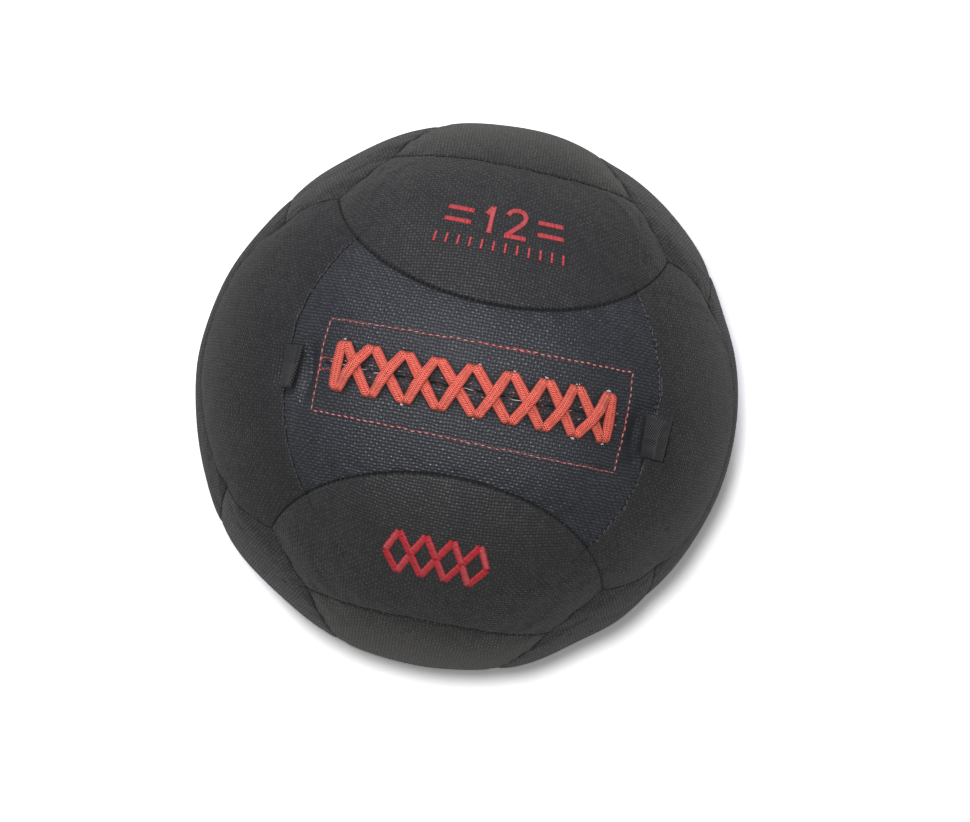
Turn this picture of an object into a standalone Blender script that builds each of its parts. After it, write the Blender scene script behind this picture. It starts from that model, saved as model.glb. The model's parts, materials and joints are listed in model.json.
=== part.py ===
"""Laced wall ball: eighteen sewn cover panels, a laced closure, two webbing loops and the filling."""
import math

import bpy
import numpy as np
from mathutils import Matrix, Vector
from mathutils.geometry import tessellate_polygon

# Whole ball
BALL_DIAMETER = 0.355
REST_FLAT_DEPTH = 0.0005

# Seam pattern: each of the six face panels is waisted, and its two short ends bow outwards
WAIST_WIDTH = 0.1025
FACE_PANEL_LENGTH = 0.237
END_BOW_SHARE = 0.52

# Cover panels: padded plates that swell between the seams and turn down into them
SEAM_GAP = 0.0004
GROOVE_DEPTH = 0.0026
GROOVE_REACH = 0.0045
CROWN_RISE = 0.0014
CROWN_REACH = 0.024
PANEL_EDGE_THICKNESS = 0.0017
LACED_PANEL_THICKNESS = 0.0018

# Closure: slit, two rows of holes, white backing on each side of the slit, and the tongue below.
# An overhang is measured along the slit from the last pair of holes, and a margin across it from a row.
SLIT_OVERHANG = 0.0114
SLIT_WIDTH = 0.0012
HOLE_PAIRS = 9
HOLE_PITCH = 0.0194
HOLE_ROW_SPACING = 0.0248
HOLE_CLEARANCE = 0.00035
HOLE_TURN_SHARE = 0.38
BACKING_OVERHANG = 0.0159
BACKING_MARGIN = 0.0146
BACKING_THICKNESS = 0.001
BACKING_SLIT_GAP = 0.003
TONGUE_OVERHANG = 0.0154
TONGUE_MARGIN = 0.0096
TONGUE_THICKNESS = 0.0015
LAYER_GAP = 0.0006

# Lace: flattened where it lies on the cover, squeezed round where it passes the holes
LACE_WIDTH = 0.0052
LACE_THICKNESS = 0.0034
LACE_ROUND = 0.0036
LACE_BEND_RADIUS = 0.0035
LACE_SURFACE_GAP = 0.00035
LACE_SELF_GAP = 0.0006
PASS_SPACING = 0.0043
KNOT_LEAD = 0.0022
KNOT_WIDTH = 0.0094

# Webbing loops, sewn into the seams at both ends of the laced panel
WEBBING_WIDTH = 0.025
WEBBING_THICKNESS = 0.0015
LOOP_OFFSET = 0.0055
LOOP_SEAT = 0.0023
LOOP_PINCH = 1.5
FLAT_LOOP_LENGTH = 0.0172
FLAT_LOOP_BULGE = 0.0042
FLAT_LOOP_LEAN = math.radians(72.0)
OPEN_LOOP_LENGTH = 0.0185
OPEN_LOOP_BULGE = 0.014
OPEN_LOOP_LEAN = math.radians(38.0)

# Filling: inner bag, fibre stuffing in two halves, and the sand bag, which has sunk a little in it
INNER_BAG_CLEARANCE = 0.0036
INNER_BAG_THICKNESS = 0.001
MOUTH_OVERHANG = 0.0109
MOUTH_MARGIN = 0.0066
STUFFING_CLEARANCE = 0.0004
PARTING_GAP = 0.0004
SAND_BAG_DIAMETER = 0.2
SAND_BAG_THICKNESS = 0.0015
SAND_BAG_SEAT_GAP = 0.0005
CORE_SINK = 0.006
NECK_DIAMETER = 0.028
NECK_HEIGHT = 0.02
TIE_DIAMETER = 0.004

# Mesh steps, as shares of an edge or of a width
ALONG_SHARES = (-1.0, -0.92, -0.7, -0.46, -0.23, 0.0, 0.23, 0.46, 0.7, 0.92, 1.0)
ACROSS_SHARES = (0.0, 0.06, 0.27, 0.5, 0.73, 0.94, 1.0)
TIP_SHARES = (0.0, 0.5, 1.0)
FINER_INTERVALS = {"laced_panel": range(10), "base_panel": range(3, 7)}
FILLING_SEGMENTS = 24
CORE_STEPS = 4
BEND_ANGLES = (0.0, math.pi / 4, math.pi / 2)
TAIL_SHARES = (0.35, 0.55, 0.75, 1.0)
BLOCK_STEPS_ALONG = 12
BLOCK_STEPS_ACROSS = 3
LACE_SIDES = 6
HOLE_END_POINTS = 4
CUT_OVERRUN = 0.004

BALL_RADIUS = BALL_DIAMETER / 2
CENTRE = np.array([0.0, 0.0, BALL_RADIUS - REST_FLAT_DEPTH])
X_AXIS, Y_AXIS, Z_AXIS = np.eye(3)

# Each cube axis has a pair of face panels: its long direction and its short direction
FACE_AXES = {
    "z": (Z_AXIS, X_AXIS, Y_AXIS),
    "y": (Y_AXIS, Z_AXIS, X_AXIS),
    "x": (X_AXIS, Y_AXIS, Z_AXIS),
}
FACE_NAMES = {
    ("z", 1): "laced_panel",
    ("z", -1): "base_panel",
    ("y", 1): "north_face_panel",
    ("y", -1): "south_face_panel",
    ("x", 1): "east_face_panel",
    ("x", -1): "west_face_panel",
}
EDGE_NAMES = {
    ("z", 1, 1): "upper_north_panel",
    ("z", 1, -1): "upper_south_panel",
    ("z", -1, 1): "lower_north_panel",
    ("z", -1, -1): "lower_south_panel",
    ("y", 1, 1): "side_north_east_panel",
    ("y", 1, -1): "side_north_west_panel",
    ("y", -1, 1): "side_south_east_panel",
    ("y", -1, -1): "side_south_west_panel",
    ("x", 1, 1): "upper_east_panel",
    ("x", 1, -1): "lower_east_panel",
    ("x", -1, 1): "upper_west_panel",
    ("x", -1, -1): "lower_west_panel",
}
COVER = ("black_coated_canvas", (0.022, 0.024, 0.030), 0.62)
LACE = ("red_braided_cord", (0.72, 0.045, 0.035), 0.70)
BACKING = ("white_backing_cloth", (0.70, 0.69, 0.66), 0.85)
TONGUE = ("black_lining_cloth", (0.02, 0.02, 0.024), 0.85)
WEBBING = ("black_webbing", (0.012, 0.013, 0.014), 0.75)
INNER_BAG = ("grey_nonwoven_cloth", (0.32, 0.32, 0.33), 0.90)
STUFFING = ("white_fibre_fill", (0.74, 0.73, 0.70), 0.95)
SAND_BAG = ("blue_bag_cloth", (0.06, 0.09, 0.18), 0.80)
SAND = ("iron_sand", (0.10, 0.08, 0.07), 0.90)
TIE = ("black_cable_tie", (0.015, 0.015, 0.015), 0.45)


def clear_scene():
    """Remove the objects that are already in the scene."""
    for item in list(bpy.data.objects):
        bpy.data.objects.remove(item, do_unlink=True)


def finish_material(finish):
    """Return the named material, made once."""
    name, colour, roughness = finish
    material = bpy.data.materials.get(name)
    if material is None:
        material = bpy.data.materials.new(name)
        material.use_nodes = True
        shader = material.node_tree.nodes["Principled BSDF"]
        shader.inputs["Base Color"].default_value = (*colour, 1.0)
        shader.inputs["Roughness"].default_value = roughness
        shader.inputs["Metallic"].default_value = 0.0
    return material


def add_object(name, points, faces, finish, smooth_angle=math.radians(50.0)):
    """Make one closed mesh object from points and faces, with its faces turned out."""
    mesh = bpy.data.meshes.new(name)
    mesh.from_pydata([tuple(point) for point in points], [], [tuple(face) for face in faces])
    mesh.update()
    if signed_volume(mesh) < 0:
        mesh.flip_normals()
    if finish is not None:
        mesh.materials.append(finish_material(finish))
        mesh.shade_smooth()
        mesh.set_sharp_from_angle(angle=smooth_angle)
    item = bpy.data.objects.new(name, mesh)
    bpy.context.scene.collection.objects.link(item)
    return item


def signed_volume(mesh):
    """Return the volume that the faces enclose, negative where they face in."""
    mesh.calc_loop_triangles()
    total = 0.0
    for triangle in mesh.loop_triangles:
        a, b, c = (mesh.vertices[index].co for index in triangle.vertices)
        total += a.dot(b.cross(c))
    return total


def cut(target, cutter):
    """Cut one object with another, which stays as a wire guide."""
    cutter.hide_render = True
    cutter.display_type = "WIRE"
    boolean = target.modifiers.new("cut_" + cutter.name, "BOOLEAN")
    boolean.operation = "DIFFERENCE"
    boolean.solver = "EXACT"
    boolean.object = cutter


def unit(vectors):
    """Scale vectors to length one."""
    vectors = np.asarray(vectors, dtype=float)
    return vectors / np.linalg.norm(vectors, axis=-1, keepdims=True)


# Seam curves, on the cube that the ball is projected to


def waist_height():
    """Return how far from a face's middle line its long seam passes, at the waist."""
    return math.tan(WAIST_WIDTH / BALL_DIAMETER)


def end_reach():
    """Return how far from a face's middle its end seam lies, on the middle line."""
    return math.tan(FACE_PANEL_LENGTH / BALL_DIAMETER)


def long_seam(along):
    """Return the long seam's distance from the middle line: it meets the cube's corners."""
    return waist_height() + (1.0 - waist_height()) * np.square(along)


def end_seam(across):
    """Return the end seam's distance from the face's middle: it bows out at its own middle."""
    return end_reach() - END_BOW_SHARE * np.square(across)


def face_corner():
    """Return where an end seam meets a long seam, along and across the face."""
    low, high = 0.0, end_reach()
    while high - low > 1e-9:
        middle = (low + high) / 2
        if end_seam(long_seam(middle)) > middle:
            low = middle
        else:
            high = middle
    return low, float(long_seam(low))


def face_point(axes, sign, along, across):
    """Return the direction of a point given on one face of the cube."""
    normal, long_axis, short_axis = axes
    along = np.asarray(along, dtype=float)[..., None]
    across = np.asarray(across, dtype=float)[..., None]
    return unit(sign * normal + along * long_axis + across * short_axis)


def seam_samples(count=120):
    """Return close-spaced directions along every seam of the ball."""
    corner_across = face_corner()[1]
    samples = []
    for axes in FACE_AXES.values():
        for sign in (1, -1):
            along = np.linspace(-1.0, 1.0, count)
            across = np.linspace(-corner_across, corner_across, count)
            for side in (1, -1):
                samples.append(face_point(axes, sign, along, side * long_seam(along)))
                samples.append(face_point(axes, sign, side * end_seam(across), across))
    return np.concatenate(samples)


SEAM_SAMPLES = seam_samples()


def surface_radius(directions):
    """Return the cover's radius: full at a panel's middle, drawn in at the seams."""
    flat = np.asarray(directions, dtype=float).reshape(-1, 3)
    nearest = np.clip((flat @ SEAM_SAMPLES.T).max(axis=1), -1.0, 1.0)
    away = BALL_RADIUS * np.arccos(nearest)
    drawn_in = GROOVE_DEPTH * np.exp(-away / GROOVE_REACH) + CROWN_RISE * np.exp(-away / CROWN_REACH)
    return (BALL_RADIUS - drawn_in).reshape(np.shape(directions)[:-1])


def seam_radius():
    """Return the cover's radius at the bottom of a seam."""
    return BALL_RADIUS - GROOVE_DEPTH - CROWN_RISE


def cover_inner_radius():
    """Return the radius of the cover panels' inner faces."""
    return seam_radius() - PANEL_EDGE_THICKNESS


# Cover panels


def face_grid(axes, sign):
    """Return a face panel's grid of directions, blended between its four seams."""
    corner_along, corner_across = face_corner()
    shares = np.array(ALONG_SHARES)
    along, across = corner_along * shares, corner_across * shares
    u, v = np.meshgrid((shares + 1) / 2, (shares + 1) / 2)
    low = np.stack([along, -long_seam(along)], axis=-1)[None, :, :]
    high = np.stack([along, long_seam(along)], axis=-1)[None, :, :]
    left = np.stack([-end_seam(across), across], axis=-1)[:, None, :]
    right = np.stack([end_seam(across), across], axis=-1)[:, None, :]
    u, v = u[..., None], v[..., None]
    corners = (1 - u) * (1 - v) * low[:, :1] + u * (1 - v) * low[:, -1:]
    corners = corners + (1 - u) * v * high[:, :1] + u * v * high[:, -1:]
    places = (1 - v) * low + v * high + (1 - u) * left + u * right - corners
    return face_point(axes, sign, places[..., 0], places[..., 1])


def edge_grid(key, sign, side):
    """Return an edge panel's grid, from one face's long seam to the next face's end seam."""
    axes = FACE_AXES[key]
    normal, long_axis, short_axis = axes
    corner_along, corner_across = face_corner()
    middle = corner_along * np.array(ALONG_SHARES)
    tip = corner_along + (1 - corner_along) * np.array(TIP_SHARES[1:])
    along = np.concatenate([-tip[::-1], middle, tip])
    lower = face_point(axes, sign, along, side * long_seam(along))
    across = corner_across * np.array(ALONG_SHARES)
    reach = np.concatenate([tip[::-1], end_seam(across), tip])
    spread = np.concatenate([-long_seam(tip)[::-1], across, long_seam(tip)])
    upper = face_point((short_axis, normal, long_axis), side, sign * reach, spread)
    shares = np.array(ACROSS_SHARES)[:, None, None]
    return unit((1 - shares) * lower[None] + shares * upper[None])


def border(rows, columns):
    """Return the places round a grid's border, in order."""
    places = [(0, column) for column in range(columns)]
    places += [(row, columns - 1) for row in range(1, rows)]
    places += [(rows - 1, column) for column in range(columns - 2, -1, -1)]
    places += [(row, 0) for row in range(rows - 2, 0, -1)]
    return places


def draw_in_border(grid):
    """Move a grid's border in from the seam line by half the seam's gap, square to the seam."""
    rows, columns = grid.shape[:2]
    loop = []
    for place in border(rows, columns):
        if not loop or np.linalg.norm(grid[place] - grid[loop[-1]]) > 1e-6:
            loop.append(place)
    if np.linalg.norm(grid[loop[0]] - grid[loop[-1]]) < 1e-6:
        loop.pop()
    points = np.array([grid[place] for place in loop])
    middle = unit(points.mean(axis=0))
    step = unit(np.roll(points, -1, axis=0) - points)
    inward = unit(np.cross(points, step))
    toward = np.einsum("ij,ij->i", inward, middle - points)
    inward *= np.sign(toward.sum())
    before = np.roll(inward, 1, axis=0)
    miter = (inward + before) / (1 + np.einsum("ij,ij->i", inward, before))[:, None]
    moved = unit(points + miter * (SEAM_GAP / 2 / seam_radius()))
    result = grid.copy()
    for old, new in zip(points, moved):
        same = np.linalg.norm(grid - old, axis=-1) < 1e-6
        result[same] = new
    return result


def grid_faces(index, stride):
    """Return the faces over a grid of point numbers, in cells of the given stride."""
    rows, columns = index.shape
    faces = []
    for row in range(0, rows - 1, stride):
        for column in range(0, columns - 1, stride):
            faces.append(cell_ring(index, row, column, stride))
    return [face for face in faces if len(face) > 2]


def cell_ring(index, row, column, stride):
    """Return one cell's corners, with the points between them where it lies on the border."""
    last_row, last_column = index.shape[0] - 1, index.shape[1] - 1
    ring = [(row, column + step) for step in range(stride)]
    ring += [(row + step, column + stride) for step in range(stride)]
    ring += [(row + stride, column + stride - step) for step in range(stride)]
    ring += [(row + stride - step, column) for step in range(stride)]
    numbers = []
    for place in ring:
        corner = (place[0] - row) % stride == 0 and (place[1] - column) % stride == 0
        edge = place[0] in (0, last_row) or place[1] in (0, last_column)
        number = int(index[place])
        if (corner or edge) and number not in numbers:
            numbers.append(number)
    return numbers


def point_numbers(grid):
    """Number a grid's points, where points that meet share a number, and return where each is kept."""
    index = np.zeros(grid.shape[:2], dtype=int)
    chosen = []
    for place in np.ndindex(*index.shape):
        same = [k for k, other in enumerate(chosen) if np.linalg.norm(grid[other] - grid[place]) < 1e-6]
        if not same:
            chosen.append(place)
            same = [len(chosen) - 1]
        index[place] = same[0]
    return index, tuple(np.array(chosen).T)


def refine(grid, split):
    """Return a grid with one more row and column in the middle of each interval that is split."""
    for _ in range(2):
        rows = []
        for place, row in enumerate(grid):
            rows.append(row)
            if place in split:
                rows.append((row + grid[place + 1]) / 2)
        grid = np.array(rows).swapaxes(0, 1)
    return grid


def straighten_border(points, coarse, split):
    """Put a refined grid's new border points on the straight edges between the old ones."""
    straight = refine(coarse, split)
    for place in border(*points.shape[:2]):
        points[place] = straight[place]
    return points


def panel_faces(grid, thickness):
    """Return the points of a panel's outer face and inner face over a grid of directions."""
    outer = surface_radius(grid)
    inner = np.full(grid.shape[:2], cover_inner_radius())
    if thickness is not None:
        inner = np.maximum(inner, outer - thickness)
    return grid * outer[..., None], grid * inner[..., None]


def panel_solid(name, grid, split=(), thickness=None):
    """Build one padded cover panel from its grid of directions, finer where intervals are split."""
    coarse = draw_in_border(grid)
    grid = unit(refine(coarse, split))
    faces_of_coarse = panel_faces(coarse, thickness)
    outer, inner = (straighten_border(fine, plain, split)
                    for fine, plain in zip(panel_faces(grid, thickness), faces_of_coarse))
    index, kept = point_numbers(grid)
    shift = len(kept[0])
    faces = grid_faces(index, 1)
    faces += [face[::-1] for face in grid_faces(index + shift, 2 if thickness is None else 1)]
    faces += wall_faces(index, shift)
    used = sorted({number for face in faces for number in face})
    renumber = {number: place for place, number in enumerate(used)}
    points = CENTRE + np.concatenate([outer[kept], inner[kept]])[used]
    faces = [tuple(renumber[number] for number in face) for face in faces]
    return add_object(name, points, triangles(points, faces), COVER)


def wall_faces(index, shift):
    """Return the faces that close a plate's edge, between a grid's border and its twin below."""
    loop = []
    for place in border(*index.shape):
        number = int(index[place])
        if number not in loop:
            loop.append(number)
    pairs = zip(loop, loop[1:] + loop[:1])
    return [(second, first, first + shift, second + shift) for first, second in pairs]


def triangles(points, faces):
    """Split faces into triangles that turn the same way as the face they come from."""
    result = []
    for face in faces:
        corners = [Vector(points[number]) for number in face]
        for triple in tessellate_polygon([corners]):
            result.append(tuple(face[place] for place in sorted(triple)))
    return result


def build_cover():
    """Build the six face panels and the twelve edge panels."""
    panels = {}
    for (key, sign), name in FACE_NAMES.items():
        thickness = LACED_PANEL_THICKNESS if name == "laced_panel" else None
        split = FINER_INTERVALS.get(name, ())
        panels[name] = panel_solid(name, face_grid(FACE_AXES[key], sign), split, thickness)
    for (key, sign, side), name in EDGE_NAMES.items():
        panels[name] = panel_solid(name, edge_grid(key, sign, side))
    return panels


def cut_rest_flat(base_panel):
    """Cut the base panel flat where the ball stands."""
    size = BALL_RADIUS
    low, high = -CUT_OVERRUN, 0.0
    outline = ((-size, -size), (size, -size), (size, size), (-size, size))
    points = [(x, y, z) for z in (low, high) for x, y in outline]
    faces = [(3, 2, 1, 0), (4, 5, 6, 7), (0, 1, 5, 4), (1, 2, 6, 5), (2, 3, 7, 6), (3, 0, 4, 7)]
    cut(base_panel, add_object("floor_cutter", points, faces, None))


# Closure


def place_on_laced_panel(x, y, height):
    """Return the point at arc lengths x and y from the laced panel's middle, at a height over its face."""
    turn, rise = np.asarray(x) / BALL_RADIUS, np.asarray(y) / BALL_RADIUS
    east, north, up = np.sin(turn) * np.cos(rise), np.sin(rise) + 0 * turn, np.cos(turn) * np.cos(rise)
    direction = np.stack([east, north, up], axis=-1)
    radius = surface_radius(direction) + height
    return CENTRE + direction * radius[..., None]


def curved_block(name, half_length, y_range, height_range, finish):
    """Build a block along the slit that follows the laced panel's curve."""
    x = np.linspace(-half_length, half_length, BLOCK_STEPS_ALONG + 1)
    y = np.linspace(*y_range, BLOCK_STEPS_ACROSS + 1)
    grid_x, grid_y = np.meshgrid(x, y)
    layers = [place_on_laced_panel(grid_x, grid_y, height) for height in sorted(height_range, reverse=True)]
    count = grid_x.size
    top = np.arange(count).reshape(grid_x.shape)
    faces = grid_faces(top, 1) + [face[::-1] for face in grid_faces(top + count, 1)]
    faces += wall_faces(top, count)
    points = np.concatenate([layer.reshape(-1, 3) for layer in layers])
    return add_object(name, points, triangles(points, faces), finish)


def half_length(overhang):
    """Return half the length of a strip that runs past the end holes by an overhang."""
    return hole_x(HOLE_PAIRS - 1) + overhang


def half_width(margin):
    """Return half the width of a strip that runs past both rows of holes by a margin."""
    return HOLE_ROW_SPACING / 2 + margin


def hole_x(pair):
    """Return where a pair of holes lies along the slit."""
    return (pair - (HOLE_PAIRS - 1) / 2) * HOLE_PITCH


def hole_outline(pair, side):
    """Return one lacing hole's outline: two lace passes side by side, with room to turn to the slit."""
    turn_room = LACE_BEND_RADIUS * HOLE_TURN_SHARE / 2
    end_radius = LACE_ROUND / 2 + turn_room + HOLE_CLEARANCE
    reach = (PASS_SPACING + LACE_WIDTH) / 2 + HOLE_CLEARANCE
    middle = side * (HOLE_ROW_SPACING / 2 - turn_room)
    points = []
    for end, start_angle in ((1, -math.pi / 2), (-1, math.pi / 2)):
        for angle in start_angle + np.linspace(0.0, math.pi, HOLE_END_POINTS):
            along = reach - end_radius * (math.cos(math.pi / 6) - abs(math.cos(angle)))
            points.append((hole_x(pair) + end * along, middle + end_radius * math.sin(angle)))
    return points


def backing_top():
    """Return the depth of the backing's outer face."""
    return LACED_PANEL_THICKNESS + LAYER_GAP


def backing_bottom():
    """Return the depth of the backing's inner face."""
    return backing_top() + BACKING_THICKNESS


def hole_cutters():
    """Build one prism through the cover and its backing at each lacing hole."""
    points, faces = [], []
    for pair in range(HOLE_PAIRS):
        for side in (1, -1):
            outline = np.array(hole_outline(pair, side))
            start, count = len(points), len(outline)
            for height in (CUT_OVERRUN, -backing_bottom() - LAYER_GAP):
                points += list(place_on_laced_panel(outline[:, 0], outline[:, 1], height))
            top = list(range(start, start + count))
            faces.append(top)
            faces.append([number + count for number in top[::-1]])
            for first, second in zip(top, top[1:] + top[:1]):
                faces.append((second, first, first + count, second + count))
    return add_object("hole_cutters", points, faces, None)


def build_closure(laced_panel):
    """Cut the slit and the holes, and build the backing and the tongue."""
    holes = hole_cutters()
    slit_depth = LACED_PANEL_THICKNESS + LAYER_GAP / 2
    slit_sides = (-SLIT_WIDTH / 2, SLIT_WIDTH / 2)
    depths = (-slit_depth, CUT_OVERRUN)
    cut(laced_panel, curved_block("slit_cutter", half_length(SLIT_OVERHANG), slit_sides, depths, None))
    cut(laced_panel, holes)
    for side, name in ((1, "north_backing"), (-1, "south_backing")):
        sides = sorted((side * BACKING_SLIT_GAP / 2, side * half_width(BACKING_MARGIN)))
        depths = (-backing_bottom(), -backing_top())
        backing = curved_block(name, half_length(BACKING_OVERHANG), sides, depths, BACKING)
        cut(backing, holes)
    sides = (-half_width(TONGUE_MARGIN), half_width(TONGUE_MARGIN))
    depths = (-tongue_top() - TONGUE_THICKNESS, -tongue_top())
    curved_block("closure_tongue", half_length(TONGUE_OVERHANG), sides, depths, TONGUE)


# Lace


def upper_run_depth():
    """Return the depth of the first crossing under the slit."""
    return backing_bottom() + LAYER_GAP + LACE_ROUND / 2


def lower_run_depth():
    """Return the depth of the second crossing, which passes below the first."""
    return upper_run_depth() + LACE_ROUND + LACE_SELF_GAP


def tongue_top():
    """Return the depth of the tongue's outer face, under both crossings."""
    return lower_run_depth() + LACE_ROUND / 2 + LAYER_GAP


def lace_pass(pair, side, hand):
    """Return one of the two passes through a hole: hand is -1 for the left one and 1 for the right."""
    return np.array([hole_x(pair) + hand * PASS_SPACING / 2, side * HOLE_ROW_SPACING / 2])


def lace_run(start, end, height, lift=0.0):
    """Return a stretch of lace from one pass to another: out of the hole, across, and into the next."""
    rise = 1 if height > 0 else -1
    heading = unit(end - start)
    length = float(np.linalg.norm(end - start))
    bend = LACE_BEND_RADIUS
    stations = []
    for angle in BEND_ANGLES:
        level = height - rise * bend * (1 - math.sin(angle))
        stations.append((bend * (1 - math.cos(angle)), level, math.sin(angle)))
    plateau = crossing_reach()
    if lift:
        ramp = (bend + length / 2 - plateau) / 2
        stations += [(ramp, height + lift / 2, 1.0), (length / 2 - plateau, height + lift, 1.0),
                     (length / 2, height + lift, 1.0)]
    else:
        stations.append((length / 2, height, 1.0))
    mirrored = [(length - along, level, share) for along, level, share in stations[-2::-1]]
    side = np.array([heading[1], -heading[0]])
    side = side * (1 if side[0] > 0 else -1)
    knots = []
    for along, level, share in stations + mirrored:
        place = start + heading * along
        flat = share if rise > 0 else 0.0
        width = LACE_ROUND + (LACE_WIDTH - LACE_ROUND) * flat
        thickness = LACE_ROUND + (LACE_THICKNESS - LACE_ROUND) * flat
        facing = unit(share * side + (1 - share) * np.array([1.0, 0.0]))
        knots.append((place[0], place[1], level, width, thickness, facing[0], facing[1]))
    return knots


def crossing_reach():
    """Return half the length over which one strand lies on another."""
    slope = math.atan2(HOLE_ROW_SPACING, HOLE_PITCH - PASS_SPACING)
    angle = max(math.pi - 2 * slope, math.pi / 8)
    return LACE_WIDTH / 2 * (1 / math.sin(angle) + 1 / math.tan(angle))


def knot_span():
    """Return where the knot starts and ends along the slit, between the first two pairs of holes."""
    start = hole_x(0) + PASS_SPACING / 2 + LACE_ROUND / 2 + KNOT_LEAD
    end = hole_x(1) - PASS_SPACING / 2 - LACE_ROUND / 2 - LAYER_GAP
    return start, end


def lace_tail(side, hand):
    """Return a tail, from its pass through the first hole to the knot, pass first."""
    first = lace_pass(0, side, hand)
    depth = -upper_run_depth()
    bend = LACE_BEND_RADIUS
    knots = []
    for angle in BEND_ANGLES:
        place = first[1] - side * bend * (1 - math.cos(angle))
        level = depth + bend * (1 - math.sin(angle))
        knots.append((first[0], place, level, LACE_ROUND, LACE_ROUND, 1.0, 0.0))
    end = np.array([knot_span()[0] - LACE_SURFACE_GAP, side * PASS_SPACING / 2])
    corner = np.array([first[0], side * PASS_SPACING / 2])
    start = np.array([first[0], first[1] - side * bend])
    for share in TAIL_SHARES:
        place = (1 - share) ** 2 * start + 2 * share * (1 - share) * corner + share ** 2 * end
        slope = unit((1 - share) * (corner - start) + share * (end - corner))
        facing = np.array([-side * slope[1], side * slope[0]])
        knots.append((place[0], place[1], depth, LACE_ROUND, LACE_ROUND, facing[0], facing[1]))
    return knots


def lace_route():
    """Return the whole lace, knot to knot: there in one slant, and back over it in the other."""
    top = LACE_SURFACE_GAP + LACE_THICKNESS / 2
    over = LACE_THICKNESS + LACE_SELF_GAP
    last = HOLE_PAIRS - 1
    knots = lace_tail(1, 1)[::-1]
    for pair in range(last):
        knots += lace_run(lace_pass(pair, 1, 1), lace_pass(pair + 1, -1, -1), top)
        knots += lace_run(lace_pass(pair + 1, -1, -1), lace_pass(pair + 1, 1, 1), -upper_run_depth())
    knots += lace_run(lace_pass(last, 1, 1), lace_pass(last, -1, 1), top)
    knots += lace_run(lace_pass(last, -1, 1), lace_pass(last, 1, -1), -lower_run_depth())
    for pair in range(last, 0, -1):
        knots += lace_run(lace_pass(pair, 1, -1), lace_pass(pair - 1, -1, 1), top, lift=over)
        knots += lace_run(lace_pass(pair - 1, -1, 1), lace_pass(pair - 1, 1, -1), -lower_run_depth())
    knots += lace_run(lace_pass(0, 1, -1), lace_pass(0, -1, -1), top)
    knots += lace_tail(-1, -1)
    return np.array(knots)


def lace_rings():
    """Return the lace's cross-sections as rings of points."""
    route = lace_route()
    centre = route[:, :3]
    along = unit(np.gradient(centre, axis=0))
    side = np.stack([route[:, 5], route[:, 6], 0 * route[:, 5]], axis=-1)
    side = unit(side - np.einsum("ij,ij->i", side, along)[:, None] * along)
    upward = np.cross(along, side)
    turns = np.arange(LACE_SIDES) * 2 * math.pi / LACE_SIDES
    flat_share = math.sin(math.pi / 2 - math.pi / LACE_SIDES)
    rings = []
    for turn in turns:
        offset = side * (route[:, 3] / 2 * math.cos(turn))[:, None]
        offset = offset + upward * (route[:, 4] / 2 / flat_share * math.sin(turn))[:, None]
        point = centre + offset
        rings.append(place_on_laced_panel(point[:, 0], point[:, 1], point[:, 2]))
    return np.stack(rings, axis=1)


def least_self_gap(rings):
    """Return the least distance between stretches of lace that are apart along its length."""
    middle = rings.mean(axis=1)
    run = np.concatenate([[0.0], np.cumsum(np.linalg.norm(np.diff(middle, axis=0), axis=1))])
    least = BALL_RADIUS
    for index, ring in enumerate(rings):
        apart = np.abs(run - run[index]) > 3 * LACE_WIDTH
        near = np.linalg.norm(middle - middle[index], axis=1) < 3 * LACE_WIDTH
        others = rings[apart & near].reshape(-1, 3)
        if len(others):
            least = min(least, float(np.linalg.norm(ring[:, None] - others[None], axis=-1).min()))
    return least


def build_lace():
    """Build the lace as one unbroken tube, and print its length and its least gap to itself."""
    rings = lace_rings()
    count, sides = rings.shape[:2]
    points = rings.reshape(-1, 3)
    faces = []
    for ring in range(count - 1):
        for place in range(sides):
            a, b = ring * sides + place, ring * sides + (place + 1) % sides
            faces.append((a, b, b + sides, a + sides))
    faces.append(tuple(range(sides))[::-1])
    faces.append(tuple((count - 1) * sides + place for place in range(sides)))
    middle = rings.mean(axis=1)
    length = float(np.linalg.norm(np.diff(middle, axis=0), axis=1).sum())
    print("lace length %.4f m, least gap between its points %.5f m" % (length, least_self_gap(rings)))
    add_object("lace", points, triangles(points, faces), LACE)


def revolve(name, profile, segments, finish, place=None, axis_map=None):
    """Turn a profile of radius and height round an axis: its ends lie on the axis, or it closes."""
    closed = profile[0][0] > 0
    points, rows = [], []
    for radius, height in profile:
        if radius <= 0:
            rows.append([len(points)] * segments)
            points.append((0.0, 0.0, height))
            continue
        rows.append(list(range(len(points), len(points) + segments)))
        for step in range(segments):
            angle = 2 * math.pi * step / segments
            points.append((radius * math.cos(angle), radius * math.sin(angle), height))
    pairs = list(zip(rows, rows[1:])) + ([(rows[-1], rows[0])] if closed else [])
    faces = []
    for low, high in pairs:
        for step in range(segments):
            after = (step + 1) % segments
            ring = [low[step], low[after], high[after], high[step]]
            faces.append([number for turn, number in enumerate(ring) if number not in ring[:turn]])
    points = np.array(points)
    if axis_map is not None:
        points = points @ axis_map
    points = points + (CENTRE if place is None else place)
    return add_object(name, points, triangles(points, faces), finish)


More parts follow.
